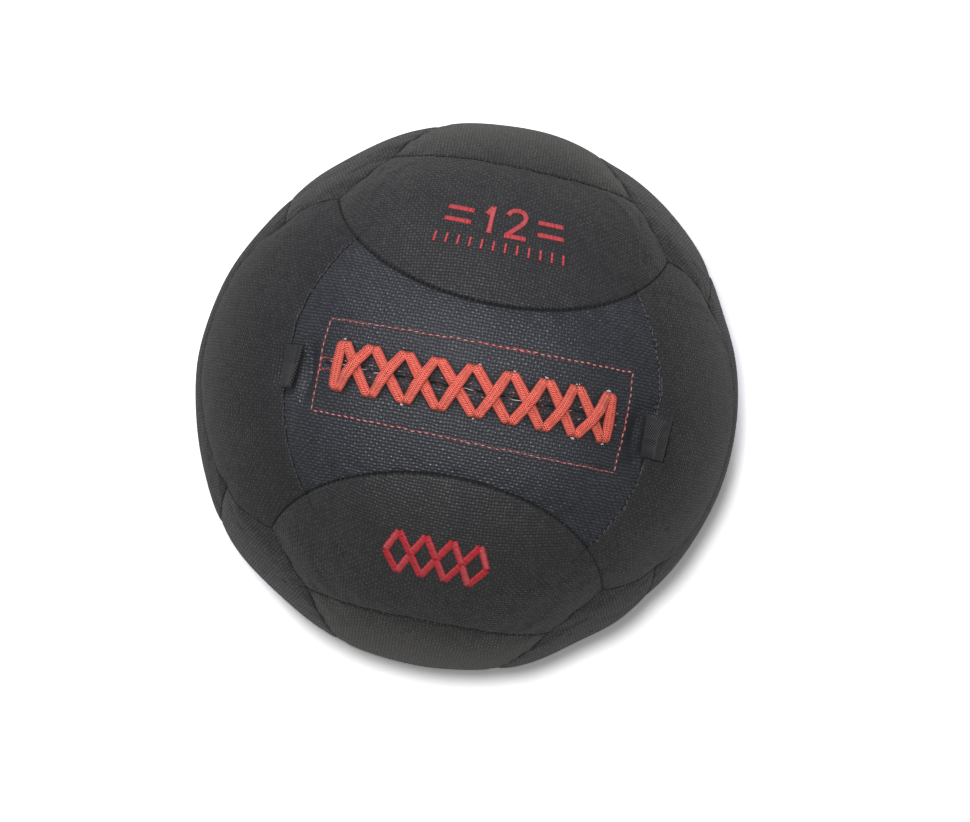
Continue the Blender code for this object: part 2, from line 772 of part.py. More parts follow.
def build_knot():
    """Build the knot that joins the lace's two tails, under the first crossing of the lace."""
    start, end = knot_span()
    half = (end - start) / 2
    room = tongue_top() - backing_bottom() - 2 * LAYER_GAP
    depth = backing_bottom() + LAYER_GAP + room / 2
    middle = (start + end) / 2
    wrap_shares = (0.0, 0.16, 0.3, 0.44, 0.56, 0.7, 0.84, 1.0)
    girth_shares = (0.62, 0.95, 0.84, 1.0, 1.0, 0.84, 0.95, 0.62)
    girths = [share * KNOT_WIDTH / 2 for share in girth_shares]
    stations = [(2 * share - 1) * half for share in wrap_shares]
    profile = [(0.0, -half)] + list(zip(girths, stations)) + [(0.0, half)]
    flatten = room / KNOT_WIDTH
    turn = middle / BALL_RADIUS
    along = np.array([math.cos(turn), 0.0, -math.sin(turn)])
    outward = np.array([math.sin(turn), 0.0, math.cos(turn)])
    axis_map = np.stack([Y_AXIS, outward * flatten, along])
    place = place_on_laced_panel(np.array(middle), np.array(0.0), np.array(-depth))
    revolve("lace_knot", profile, 10, LACE, place, axis_map)


# Webbing loops


def loop_outlines(length, bulge):
    """Return a loop's outer and inner outline, as points out and up from the foot's axis."""
    strap = WEBBING_THICKNESS
    turn = np.linspace(0.0, math.pi, 13)
    swell = np.sin(turn) * np.power(np.sin(turn / 2), LOOP_PINCH)
    largest = float(swell.max())
    centre_out = (bulge - strap) / 2 * swell / largest
    centre_up = (length - strap / 2) * (1 - np.cos(turn)) / 2
    line = np.stack([centre_out, centre_up], axis=-1)
    slope = unit(np.gradient(line, axis=0))
    slope[-1] = (-1.0, 0.0)
    normal = np.stack([slope[:, 1], -slope[:, 0]], axis=-1)
    outer = line + normal * strap / 2
    inner = line - normal * strap / 2
    outer[:, 0] = np.where(turn < math.pi - 1e-6, np.maximum(outer[:, 0], 0.0), 0.0)
    side = [point for point in outer if point[0] > strap or point[1] > length / 2]
    side = [point for point in side if point[1] > strap / 2]
    quarter = np.linspace(0.0, math.pi / 2, 5)
    foot = [(strap * math.sin(angle), -strap * math.cos(angle)) for angle in quarter]
    right = foot + [tuple(point) for point in side]
    outline = right + [(-out, up) for out, up in right[-2:0:-1]]
    gap = [tuple(point) for point in inner[:-1] if point[0] > LAYER_GAP / 2]
    lowest = (0.0, gap[0][1] - gap[0][0])
    highest = (0.0, length - strap)
    hollow = [lowest] + gap + [highest] + [(-out, up) for out, up in gap[::-1]]
    return outline, hollow


def build_loop(name, side, length, bulge, lean):
    """Build one webbing loop on the axis at its foot, leaning towards the laced panel."""
    outline, hollow = loop_outlines(length, bulge)
    half = WEBBING_WIDTH / 2
    flat = [Vector((out, up, 0.0)) for out, up in outline + hollow]
    cap = tessellate_polygon([flat[:len(outline)], flat[len(outline):]])
    points = [(out, y, up) for y in (-half, half) for out, up in outline + hollow]
    count = len(flat)
    faces = []
    for first, total in ((0, len(outline)), (len(outline), len(hollow))):
        for step in range(total):
            a, b = first + step, first + (step + 1) % total
            ring = (a, b, b + count, a + count)
            faces.append(ring if first == 0 else ring[::-1])
    for triple in cap:
        faces.append(tuple(triple))
        faces.append(tuple(number + count for number in triple))
    item = add_object(name, points, turn_alike(faces), WEBBING, math.radians(35.0))
    item.matrix_world = loop_frame(side) @ Matrix.Rotation(-lean, 4, "Y")
    return item


def turn_alike(faces):
    """Turn the faces of one body so that each edge is used once in each direction."""
    faces = [tuple(face) for face in faces]
    owner = {}
    for place, face in enumerate(faces):
        for a, b in zip(face, face[1:] + face[:1]):
            owner.setdefault(frozenset((a, b)), []).append(place)
    done, queue = {0}, [0]
    while queue:
        place = queue.pop()
        face = faces[place]
        for a, b in zip(face, face[1:] + face[:1]):
            for other in owner[frozenset((a, b))]:
                if other in done:
                    continue
                ring = faces[other]
                if (a, b) in zip(ring, ring[1:] + ring[:1]):
                    faces[other] = ring[::-1]
                done.add(other)
                queue.append(other)
    return faces


def loop_frame(side):
    """Return the frame at a loop's foot: out across the seam, along the seam, and up."""
    across = -LOOP_OFFSET / BALL_RADIUS / math.cos(FACE_PANEL_LENGTH / BALL_DIAMETER)
    step = 1e-3
    here = face_point(FACE_AXES["z"], 1, side * end_seam(across), across)
    beyond = face_point(FACE_AXES["z"], 1, side * end_seam(across + step), across + step)
    outward = unit(here)
    seam = unit(beyond - here - outward * np.dot(beyond - here, outward)) * side
    across_seam = np.cross(seam, outward)
    place = CENTRE + outward * (seam_radius() + LOOP_SEAT)
    frame = Matrix.Identity(4)
    for column, vector in enumerate((across_seam, seam, outward, place)):
        for row in range(3):
            frame[row][column] = float(vector[row])
    return frame


# Filling


def arc_profile(radius, angles, drop=0.0):
    """Return points of an arc in the profile plane. Angles run from the bottom pole up."""
    profile = []
    for angle in angles:
        reach = radius * math.sin(angle) if 0 < angle < math.pi else 0.0
        profile.append((reach, -radius * math.cos(angle) - drop))
    return profile


def pole_to_pole(steps):
    """Return evenly spaced angles from the bottom pole to the top pole."""
    return [math.pi * step / steps for step in range(steps + 1)]


def core_angles(top_radius, radius):
    """Return the core's angles in its lower half and its upper half, up to where the neck starts."""
    top = math.pi - math.asin(top_radius / radius)
    shoulder = math.pi - math.asin(NECK_DIAMETER / SAND_BAG_DIAMETER)
    lower = [math.pi / 2 * step / CORE_STEPS for step in range(CORE_STEPS + 1)]
    upper = [math.pi / 2 + (shoulder - math.pi / 2) * step / CORE_STEPS for step in range(CORE_STEPS)]
    return lower, upper + [top]


def inner_bag_radius():
    """Return the inner bag's outer radius."""
    return cover_inner_radius() - INNER_BAG_CLEARANCE


def stuffing_radius():
    """Return the stuffing's outer radius."""
    return inner_bag_radius() - INNER_BAG_THICKNESS - STUFFING_CLEARANCE


def build_inner_bag():
    """Build the inner bag, with its mouth under the lacing."""
    angles = pole_to_pole(FILLING_SEGMENTS // 2)
    outer = arc_profile(inner_bag_radius(), angles)
    inner = arc_profile(inner_bag_radius() - INNER_BAG_THICKNESS, angles)
    bag = shell_of_revolution("inner_bag", outer, inner, FILLING_SEGMENTS, INNER_BAG)
    depth = cover_drop() + INNER_BAG_THICKNESS + CUT_OVERRUN
    sides = (-half_width(MOUTH_MARGIN), half_width(MOUTH_MARGIN))
    cut(bag, curved_block("mouth_cutter", half_length(MOUTH_OVERHANG), sides, (-depth, CUT_OVERRUN), None))


def cover_drop():
    """Return how far below the laced panel's face the inner bag's outer face lies."""
    return BALL_RADIUS - inner_bag_radius()


def shell_of_revolution(name, outer, inner, segments, finish):
    """Build a closed shell between two turned profiles, as an outer face and an inner face."""
    points, faces = [], []
    for profile, inward in ((outer, False), (inner, True)):
        start = len(points)
        points.append((0.0, 0.0, profile[0][1]))
        for radius, height in profile[1:-1]:
            for step in range(segments):
                angle = 2 * math.pi * step / segments
                points.append((radius * math.cos(angle), radius * math.sin(angle), height))
        points.append((0.0, 0.0, profile[-1][1]))
        faces += sphere_faces(start, len(profile), segments, inward)
    points = np.array(points) + CENTRE
    return add_object(name, points, triangles(points, faces), finish)


def sphere_faces(start, rings, segments, inward):
    """Return the faces between a pole, the rings above it and the other pole."""
    faces = []
    first = start + 1
    last = start + 1 + (rings - 2) * segments
    for step in range(segments):
        after = (step + 1) % segments
        faces.append((start, first + after, first + step))
        top = last - segments
        faces.append((last, top + step, top + after))
        for ring in range(rings - 3):
            a, b = first + ring * segments + step, first + ring * segments + after
            faces.append((a, b, b + segments, a + segments))
    return [face[::-1] for face in faces] if inward else faces


def build_stuffing():
    """Build the fibre stuffing as two halves round the sand bag."""
    outer = stuffing_radius()
    hollow = SAND_BAG_DIAMETER / 2 + SAND_BAG_SEAT_GAP
    neck = NECK_DIAMETER / 2 + TIE_DIAMETER + SAND_BAG_SEAT_GAP
    neck_top = neck_base() + NECK_HEIGHT + SAND_BAG_SEAT_GAP
    angles = pole_to_pole(FILLING_SEGMENTS // 2)
    middle = FILLING_SEGMENTS // 4
    core_lower, core_upper = core_angles(neck, hollow)
    low_side, high_side = -CORE_SINK - PARTING_GAP / 2, -CORE_SINK + PARTING_GAP / 2
    rim = outer - CORE_SINK * math.tan(math.pi / FILLING_SEGMENTS)
    lower = arc_profile(outer, angles[:middle]) + [(rim, low_side), (hollow, low_side)]
    lower += arc_profile(hollow, core_lower[-2::-1], CORE_SINK)
    revolve("lower_stuffing", lower, FILLING_SEGMENTS, STUFFING)
    upper = [(0.0, neck_top), (neck, neck_top)] + arc_profile(hollow, core_upper[:0:-1], CORE_SINK)
    upper += [(hollow, high_side), (rim, high_side)] + arc_profile(outer, angles[middle:])
    top = revolve("upper_stuffing", upper, FILLING_SEGMENTS, STUFFING)
    floor = tongue_top() + TONGUE_THICKNESS + LAYER_GAP
    sides = (-half_width(TONGUE_MARGIN) - LAYER_GAP, half_width(TONGUE_MARGIN) + LAYER_GAP)
    reach = half_length(TONGUE_OVERHANG) + LAYER_GAP
    cut(top, curved_block("recess_cutter", reach, sides, (-floor, CUT_OVERRUN), None))


def neck_base():
    """Return the height over the ball's centre where the sand bag's neck starts."""
    radius = SAND_BAG_DIAMETER / 2
    return math.sqrt(radius ** 2 - (NECK_DIAMETER / 2) ** 2) - CORE_SINK


def build_sand_bag():
    """Build the sand bag with its gathered neck, the sand in it and the tie round the neck."""
    radius, wall, neck = SAND_BAG_DIAMETER / 2, SAND_BAG_THICKNESS, NECK_DIAMETER / 2
    outer_lower, outer_upper = core_angles(neck, radius)
    inner_lower, inner_upper = core_angles(neck - wall, radius - wall)
    top = neck_base() + NECK_HEIGHT
    bag = arc_profile(radius, outer_lower + outer_upper[1:], CORE_SINK) + [(neck, top), (neck - wall, top)]
    bag += arc_profile(radius - wall, (inner_lower + inner_upper[1:])[::-1], CORE_SINK)
    revolve("sand_bag", bag, FILLING_SEGMENTS, SAND_BAG)
    sand = arc_profile(radius - wall - SAND_BAG_SEAT_GAP, inner_lower + inner_upper[1:], CORE_SINK)
    revolve("sand", sand + [(0.0, sand[-1][1])], FILLING_SEGMENTS, SAND)
    middle = neck_base() + NECK_HEIGHT / 2
    centre = neck + TIE_DIAMETER / 2 + SAND_BAG_SEAT_GAP / 2
    ring = [(centre + TIE_DIAMETER / 2 * math.cos(turn), middle + TIE_DIAMETER / 2 * math.sin(turn))
            for turn in np.linspace(0.0, 2 * math.pi, 6, endpoint=False)]
    revolve("neck_tie", ring, FILLING_SEGMENTS, TIE)


def main():
    """Build the wall ball."""
    clear_scene()
    panels = build_cover()
    cut_rest_flat(panels["base_panel"])
    build_closure(panels["laced_panel"])
    build_lace()
    build_knot()
    build_loop("west_webbing_loop", -1, FLAT_LOOP_LENGTH, FLAT_LOOP_BULGE, FLAT_LOOP_LEAN)
    build_loop("east_webbing_loop", 1, OPEN_LOOP_LENGTH, OPEN_LOOP_BULGE, OPEN_LOOP_LEAN)
    build_inner_bag()
    build_stuffing()
    build_sand_bag()


main()
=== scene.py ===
"""Dresses the laced wall ball: padded canvas cover, braided lace, webbing loops, stitching and studio."""
import json
import logging
import math
from dataclasses import dataclass, field, replace
from enum import Enum

import bmesh
import bpy
import numpy as np
from mathutils import Matrix, Vector
from mathutils.bvhtree import BVHTree


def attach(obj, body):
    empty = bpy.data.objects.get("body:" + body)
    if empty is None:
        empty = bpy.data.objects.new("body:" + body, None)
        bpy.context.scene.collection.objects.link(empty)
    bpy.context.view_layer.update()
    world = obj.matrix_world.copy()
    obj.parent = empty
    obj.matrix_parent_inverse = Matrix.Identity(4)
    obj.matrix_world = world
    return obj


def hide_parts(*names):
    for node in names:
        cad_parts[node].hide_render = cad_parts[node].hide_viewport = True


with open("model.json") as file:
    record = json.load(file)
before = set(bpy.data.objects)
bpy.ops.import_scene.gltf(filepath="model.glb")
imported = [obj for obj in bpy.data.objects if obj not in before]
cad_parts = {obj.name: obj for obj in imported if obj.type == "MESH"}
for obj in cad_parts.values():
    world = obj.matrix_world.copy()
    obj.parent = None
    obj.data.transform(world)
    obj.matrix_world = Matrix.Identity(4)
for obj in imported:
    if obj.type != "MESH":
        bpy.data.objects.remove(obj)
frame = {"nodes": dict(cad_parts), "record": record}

logging.basicConfig(level=logging.INFO, format="%(message)s")
LOG = logging.getLogger("wall_ball")
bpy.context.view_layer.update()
Array = np.ndarray
Piece = bpy.types.Object
Tree = bpy.types.NodeTree
Node = bpy.types.Node
Socket = bpy.types.NodeSocket
MM = 0.001
# Points of one thread or strip closer than this are the same point
TINY = 0.0001 * MM


class Seam(Enum):
    """The two kinds of seam that join the cover panels."""

    LONG = 0
    END = 1


def linear(hex_colour: str) -> tuple[float, float, float, float]:
    """Turn an sRGB hex colour to linear light.

    Args:
        hex_colour: six hex digits, such as "1f2023".

    Returns:
        Red, green, blue, and 1 as the fourth value.
    """
    values = []
    for start in (0, 2, 4):
        value = int(hex_colour[start:start + 2], 16) / 255
        values.append(value / 12.92 if value <= 0.04045 else ((value + 0.055) / 1.055) ** 2.4)
    return values[0], values[1], values[2], 1.0


def unit(vectors: Array) -> Array:
    """Scale vectors to length one."""
    vectors = np.asarray(vectors, dtype=float)
    return vectors / np.linalg.norm(vectors, axis=-1, keepdims=True)


def add_node(tree: Tree, kind: str, settings: dict | None = None,
             inputs: dict | None = None) -> Node:
    """Add one node with its settings, values and links.

    Args:
        tree: the node tree.
        kind: the node's type name, without its first part, "ShaderNode".
        settings: attributes to set on the node.
        inputs: input name or place to a value, or to the output socket that feeds it.

    Returns:
        The new node.
    """
    node = tree.nodes.new("ShaderNode" + kind)
    for key, value in (settings or {}).items():
        setattr(node, key, value)
    for key, value in (inputs or {}).items():
        if isinstance(value, Socket):
            tree.links.new(value, node.inputs[key])
        else:
            node.inputs[key].default_value = value
    return node


def smooth_noise(points: Array, scale: float, seed: int, waves: int = 24) -> Array:
    """Return a smooth random field made of plane waves, about -1 to 1.

    Args:
        points: places, in metres.
        scale: the typical width of a bump, in metres.
        seed: picks the field.
        waves: how many waves are added.

    Returns:
        One value for each point.
    """
    source = np.random.default_rng(seed)
    heading = unit(source.normal(size=(waves, 3)))
    pitch = math.pi / scale * source.uniform(0.6, 1.4, size=waves)
    phase = source.uniform(0, 2 * math.pi, size=waves)
    flat = points.reshape(-1, 3)
    value = np.sin(flat @ (heading * pitch[:, None]).T + phase).sum(axis=1) / math.sqrt(waves / 2) / 1.6
    return value.reshape(points.shape[:-1])


def run_along(points: Array) -> Array:
    """Return how far along a line each of its points lies."""
    return np.concatenate([[0.0], np.cumsum(np.linalg.norm(np.diff(points, axis=0), axis=1))])


def add_object(name: str, data: bpy.types.ID) -> Piece:
    """Put a new object with its data into the scene.

    Args:
        name: the object's name.
        data: its mesh, lamp or camera.

    Returns:
        The object.
    """
    added = bpy.data.objects.new(name, data)
    bpy.context.scene.collection.objects.link(added)
    return added


def mesh_object(name: str, points: Array, faces: list, finish: "Finish",
                uvs: dict[str, Array] | None = None) -> Piece:
    """Make a smooth mesh object.

    Args:
        name: the piece's name.
        points: its points, in metres.
        faces: its faces, as lists of point numbers.
        finish: its finish.
        uvs: UV layer name to one pair for each point.

    Returns:
        The new object, in the scene.
    """
    mesh = bpy.data.meshes.new(name)
    mesh.from_pydata(points.tolist(), [], [tuple(int(n) for n in face) for face in faces])
    mesh.update()
    corners = np.zeros(len(mesh.loops), dtype=int)
    mesh.loops.foreach_get("vertex_index", corners)
    for layer_name, values in (uvs or {}).items():
        layer = mesh.uv_layers.new(name=layer_name)
        layer.data.foreach_set("uv", np.asarray(values, dtype=float)[corners].ravel())
    mesh.shade_smooth()
    mesh.materials.append(finish.material())
    return add_object(name, mesh)


def grid_quads(rows: int, columns: int, start: int = 0, flip: bool = False, wrap: bool = False) -> list:
    """Return the four-sided faces over a grid of points.

    Args:
        rows: points in one direction.
        columns: points in the other.
        start: the first point's number.
        flip: turn the faces over.
        wrap: join the last column to the first.

    Returns:
        The faces.
    """
    r = np.arange(rows - 1)[:, None]
    c = np.arange(columns if wrap else columns - 1)[None, :]
    after = (c + 1) % columns
    a, b = start + r * columns + c, start + r * columns + after
    quads = np.stack([a, b, b + columns, a + columns], axis=-1).reshape(-1, 4)
    return (quads[:, ::-1] if flip else quads).tolist()


def border_loop(rows: int, columns: int) -> list[int]:
    """Return the numbers of a grid's border points, in order.

    Args:
        rows: points in one direction.
        columns: points in the other.

    Returns:
        The numbers, once round from the first point.
    """
    top = list(range(columns))
    right = [r * columns + columns - 1 for r in range(1, rows)]
    bottom = [(rows - 1) * columns + c for c in range(columns - 2, -1, -1)]
    left = [r * columns for r in range(rows - 2, 0, -1)]
    return top + right + bottom + left


def rim_quads(loop: list[int], count: int) -> list:
    """Return the faces that join a loop of points to the same loop in the next layer, count points on."""
    return [[b, a, a + count, b + count] for a, b in zip(loop, loop[1:] + loop[:1])]


def sheet_faces(rows: int, columns: int) -> list:
    """Return the faces of a closed sheet.

    Args:
        rows: points in one direction.
        columns: points in the other.

    Returns:
        The faces of its outer grid, its inner grid and its rim.
    """
    count = rows * columns
    faces = grid_quads(rows, columns) + grid_quads(rows, columns, count, flip=True)
    return faces + rim_quads(border_loop(rows, columns), count)


# Finishes

PRODUCT, PRODUCT_SUM = {"operation": "MULTIPLY"}, {"operation": "MULTIPLY_ADD"}
COLOURS, ON_CLOTH = {"data_type": "RGBA"}, {"noise_dimensions": "2D"}


@dataclass(frozen=True)
class Finish:
    """A finish: a named material, made once."""

    name: str

    def material(self) -> bpy.types.Material:
        """Return the material, built on first use."""
        found = bpy.data.materials.get(self.name)
        if found is None:
            found = bpy.data.materials.new(self.name)
            found.use_nodes = True
            found.node_tree.nodes.clear()
            shader = self.build(found.node_tree)
            add_node(found.node_tree, "OutputMaterial", inputs={"Surface": shader.outputs[0]})
        return found

    def build(self, tree: Tree) -> Node:
        """Build the shader nodes and return the last one."""
        raise NotImplementedError


def woven_height(tree: Tree, warp: Socket, weft: Socket,
                 lead: float = 0.0) -> Socket:
    """Return the height of a plain weave, 0 in the gaps and about 1 on the threads' crowns.

    Args:
        tree: the node tree.
        warp: place across the warp threads, in threads.
        weft: place across the weft threads, in threads.
        lead: how much longer and higher the weft's crowns are than the warp's.

    Returns:
        The height's socket.
    """
    waves = []
    for place in (warp, weft):
        turn = add_node(tree, "Math", PRODUCT, {0: place, 1: math.pi})
        waves.append(add_node(tree, "Math", {"operation": "SINE"}, {0: turn.outputs[0]}).outputs[0])
    check = add_node(tree, "Math", PRODUCT, {0: waves[0], 1: waves[1]})
    sizes = [add_node(tree, "Math", {"operation": "ABSOLUTE"}, {0: wave}).outputs[0] for wave in waves]
    crowns = []
    for size, sign, share, rise in ((sizes[0], 0.5, 0.5, 1 - 0.45 * lead), (sizes[1], -0.5, 0.5 + 0.2 * lead, 1.0)):
        part = add_node(tree, "Math", PRODUCT, {0: check.outputs[0], 1: sign * rise})
        crowns.append(add_node(tree, "Math", PRODUCT_SUM, {0: size, 1: share * rise, 2: part.outputs[0]}).outputs[0])
    return add_node(tree, "Math", {"operation": "MAXIMUM"}, {0: crowns[0], 1: crowns[1]}).outputs[0]


def grain_axes(tree: Tree) -> tuple[Socket, ...]:
    """Return where a point lies in its piece's own grain, in metres.

    Args:
        tree: the node tree.

    Returns:
        The sockets of the pair, of the place along the piece and of the place across it.
    """
    place = add_node(tree, "UVMap", {"uv_map": "Grain"})
    axes = add_node(tree, "SeparateXYZ", inputs={0: place.outputs[0]})
    return place.outputs[0], axes.outputs[0], axes.outputs[1]


def crests(tree: Tree, place: Socket) -> Socket:
    """Return the height of round ribs that lie one unit apart, 0 between them and 1 on top.

    Args:
        tree: the node tree.
        place: the place across the ribs, in ribs.

    Returns:
        The height's socket.
    """
    turn = add_node(tree, "Math", PRODUCT, {0: place, 1: math.pi})
    wave = add_node(tree, "Math", {"operation": "SINE"}, {0: turn.outputs[0]})
    return add_node(tree, "Math", {"operation": "ABSOLUTE"}, {0: wave.outputs[0]}).outputs[0]


def slanting_columns(tree: Tree, along: Socket, across: Socket, pitch: float, width: float,
                     slope: float) -> tuple[Socket, ...]:
    """Count yarns that run in columns, each column slanting against the next.

    Args:
        tree: the node tree.
        along: place along the piece, in metres.
        across: place across it, in metres.
        pitch: from yarn to yarn along a column.
        width: a column's width.
        slope: how many yarns the slant takes up across one column.

    Returns:
        The sockets of the place in yarns and of the place in columns.
    """
    column = add_node(tree, "Math", PRODUCT, {0: across, 1: 1 / width})
    slant = add_node(tree, "Math", {"operation": "PINGPONG"}, {0: column.outputs[0], 1: 1.0})
    yarn = add_node(tree, "Math", PRODUCT, {0: along, 1: 1 / pitch})
    phase = add_node(tree, "Math", PRODUCT_SUM, {0: slant.outputs[0], 1: slope, 2: yarn.outputs[0]})
    return phase.outputs[0], column.outputs[0]


def contact_shade(tree: Tree, cloth: Socket, gloss: Socket | float, reach: float) -> tuple[Socket, Socket]:
    """Paint shade into the cloth's colour beside the loops, under them and between the strands of the lace, and dull
    its gloss there.

    Args:
        tree: the node tree.
        cloth: the cloth's own colour.
        gloss: the cloth's own roughness.
        reach: how far from what hides it the cloth is darker.

    Returns:
        The colour's and the roughness' sockets.
    """
    cover = add_node(tree, "AmbientOcclusion", {"samples": 6}, {"Distance": reach})
    clear = add_node(tree, "MapRange",
                     inputs={"Value": cover.outputs["AO"], "From Min": 0.3, "From Max": 0.82, "To Min": 0.05})
    # Painted shade: the colour goes to near-black where the ambient occlusion is low
    colour = add_node(tree, "Mix", COLOURS, {"Factor": clear.outputs[0], "A": linear("060608"), "B": cloth})
    rough = add_node(tree, "Mix", inputs={"Factor": clear.outputs[0], "A": 1.0, "B": gloss})
    return colour.outputs["Result"], rough.outputs["Result"]


@dataclass(frozen=True)
class CoatedCanvas(Finish):
    """Polyester canvas with a thin vinyl coat: coarse dark threads, dull between, with a gleam on their crowns."""

    # The photograph's threads lie 1.95 mm apart on the ball
    thread_pitch: float = 1.95 * MM
    thread_relief: float = 0.44 * MM
    # The crown colour is the coat's own with a painted highlight on the threads' tops; the near-black gap colour is
    # painted shade between them
    crown: str = "383a43"
    gap: str = "0b0c10"
    worn: str = "44464e"
    dull: float = 0.7
    gleam: float = 0.3
    specular: float = 0.62
    haze: float = 0.05
    haze_tint: str = "c8c8cc"
    lead: float = 0.8
    uneven: float = 0.55
    shade_reach: float = 9 * MM
    # The threads wander sideways by up to half the shift, over the length
    drift_length: float = 8.3333 * MM
    drift_shift: float = 2.2 * MM
    fuzz_size: float = 1.42857 * MM
    patch_size: float = 41.6667 * MM
    # A stitch's pit is deepest up to the first distance from the seam, and gone at the second
    pit_edge: tuple[float, float] = (0.4 * MM, 1.5 * MM)
    pit_weight: float = 1.6

    def build(self, tree: Tree) -> Node:
        """Weave from the panel's own grain, pits along its seams and uneven wear of the coat; painted shade in gaps and
        pits, painted highlight on crowns.

        Args:
            tree: The material's nodes.

        Returns:
            The shader node.
        """
        grain = add_node(tree, "UVMap", {"uv_map": "Grain"})
        # No two threads run quite straight, so the grain is bent a little before it is counted in threads
        drift = add_node(tree, "TexNoise", ON_CLOTH,
                         {"Vector": grain.outputs[0], "Scale": 1 / self.drift_length, "Detail": 3.0})
        centred = add_node(tree, "VectorMath", {"operation": "SUBTRACT"},
                           {0: drift.outputs["Color"], 1: (0.5, 0.5, 0.5)})
        bend = add_node(tree, "VectorMath", {"operation": "SCALE"}, {0: centred.outputs[0], "Scale": self.drift_shift})
        bent = add_node(tree, "VectorMath", {"operation": "ADD"}, {0: grain.outputs[0], 1: bend.outputs[0]})
        threads = add_node(tree, "VectorMath", {"operation": "SCALE"},
                           {0: bent.outputs[0], "Scale": 1 / self.thread_pitch})
        axes = add_node(tree, "SeparateXYZ", inputs={0: threads.outputs[0]})
        weave = woven_height(tree, axes.outputs[0], axes.outputs[1], self.lead)
        # Each crossing stands a little higher or lower than the next, as hand-coated cloth does
        cell = add_node(tree, "VectorMath", {"operation": "FLOOR"}, {0: threads.outputs[0]})
        lot = add_node(tree, "TexWhiteNoise", ON_CLOTH, {"Vector": cell.outputs[0]})
        spread = add_node(tree, "MapRange",
                          inputs={"Value": lot.outputs["Value"], "To Min": 1 - self.uneven / 2,
                                  "To Max": 1 + self.uneven / 2})
        crossing = add_node(tree, "Math", PRODUCT, {0: weave, 1: spread.outputs[0]})
        fuzz = add_node(tree, "TexNoise", ON_CLOTH,
                        {"Vector": grain.outputs[0], "Scale": 1 / self.fuzz_size, "Detail": 2.0, "Roughness": 0.6})
        lump = add_node(tree, "Math", PRODUCT_SUM, {0: fuzz.outputs["Fac"], 1: 0.35, 2: crossing.outputs[0]})
        pit = self.seam_pits(tree)
        total = add_node(tree, "Math", PRODUCT_SUM, {0: pit, 1: -self.pit_weight, 2: lump.outputs[0]})
        bump = add_node(tree, "Bump",
                        inputs={"Strength": 1.0, "Distance": self.thread_relief, "Height": total.outputs[0]})
        patches = add_node(tree, "TexNoise", ON_CLOTH,
                           {"Vector": grain.outputs[0], "Scale": 1 / self.patch_size, "Detail": 5.0, "Roughness": 0.62})
        worn = add_node(tree, "MapRange", inputs={"Value": patches.outputs["Fac"], "From Min": 0.35, "From Max": 0.68})
        crown = add_node(tree, "Mix", COLOURS,
                         {"Factor": worn.outputs[0], "A": linear(self.crown), "B": linear(self.worn)})
        # Painted shade and highlight: the colour goes from the gap colour between the threads to the crown colour on
        # top, lightest on the higher weft crowns
        shade = add_node(tree, "MapRange", inputs={"Value": crossing.outputs[0], "From Min": 0.12, "From Max": 1.0})
        cloth = add_node(tree, "Mix", COLOURS,
                         {"Factor": shade.outputs[0], "A": linear(self.gap), "B": crown.outputs["Result"]})
        # Painted shade: the stitch pits along the seams are darkened towards near-black
        pit_shaded_cloth = add_node(tree, "Mix", COLOURS, {"Factor": pit, "A": cloth.outputs["Result"], "B": linear("030304")})
        gloss = add_node(tree, "MapRange",
                         inputs={"Value": lump.outputs[0], "From Min": 0.55, "From Max": 1.25, "To Min": self.dull,
                                 "To Max": self.gleam})
        colour, rough = contact_shade(tree, pit_shaded_cloth.outputs["Result"], gloss.outputs[0], self.shade_reach)
        return add_node(tree, "BsdfPrincipled",
                        inputs={"Base Color": colour, "Roughness": rough, "Specular IOR Level": self.specular,
                                "Sheen Weight": self.haze, "Sheen Roughness": 0.5, "Sheen Tint": linear(self.haze_tint),
                                "Normal": bump.outputs[0]})

    def seam_pits(self, tree: Tree) -> Socket:
        """Find the pit that each stitch of a seam draws into the cloth.

        Args:
            tree: the node tree.

        Returns:
            The socket of a value that is 1 in a pit and 0 away from it.
        """
        seam = add_node(tree, "UVMap", {"uv_map": "Seam"})
        axes = add_node(tree, "SeparateXYZ", inputs={0: seam.outputs[0]})
        turn = add_node(tree, "Math", PRODUCT, {0: axes.outputs[0], 1: 2 * math.pi})
        beat = add_node(tree, "Math", {"operation": "COSINE"}, {0: turn.outputs[0]})
        raised = add_node(tree, "MapRange", {"interpolation_type": "SMOOTHSTEP"},
                          {"Value": beat.outputs[0], "From Min": 0.45, "From Max": -0.3, "To Min": 0.12})
        near = add_node(tree, "MapRange", {"interpolation_type": "SMOOTHSTEP"},
                        {"Value": axes.outputs[1], "From Min": self.pit_edge[1], "From Max": self.pit_edge[0]})
        return add_node(tree, "Math", PRODUCT, {0: raised.outputs[0], 1: near.outputs[0]}).outputs[0]


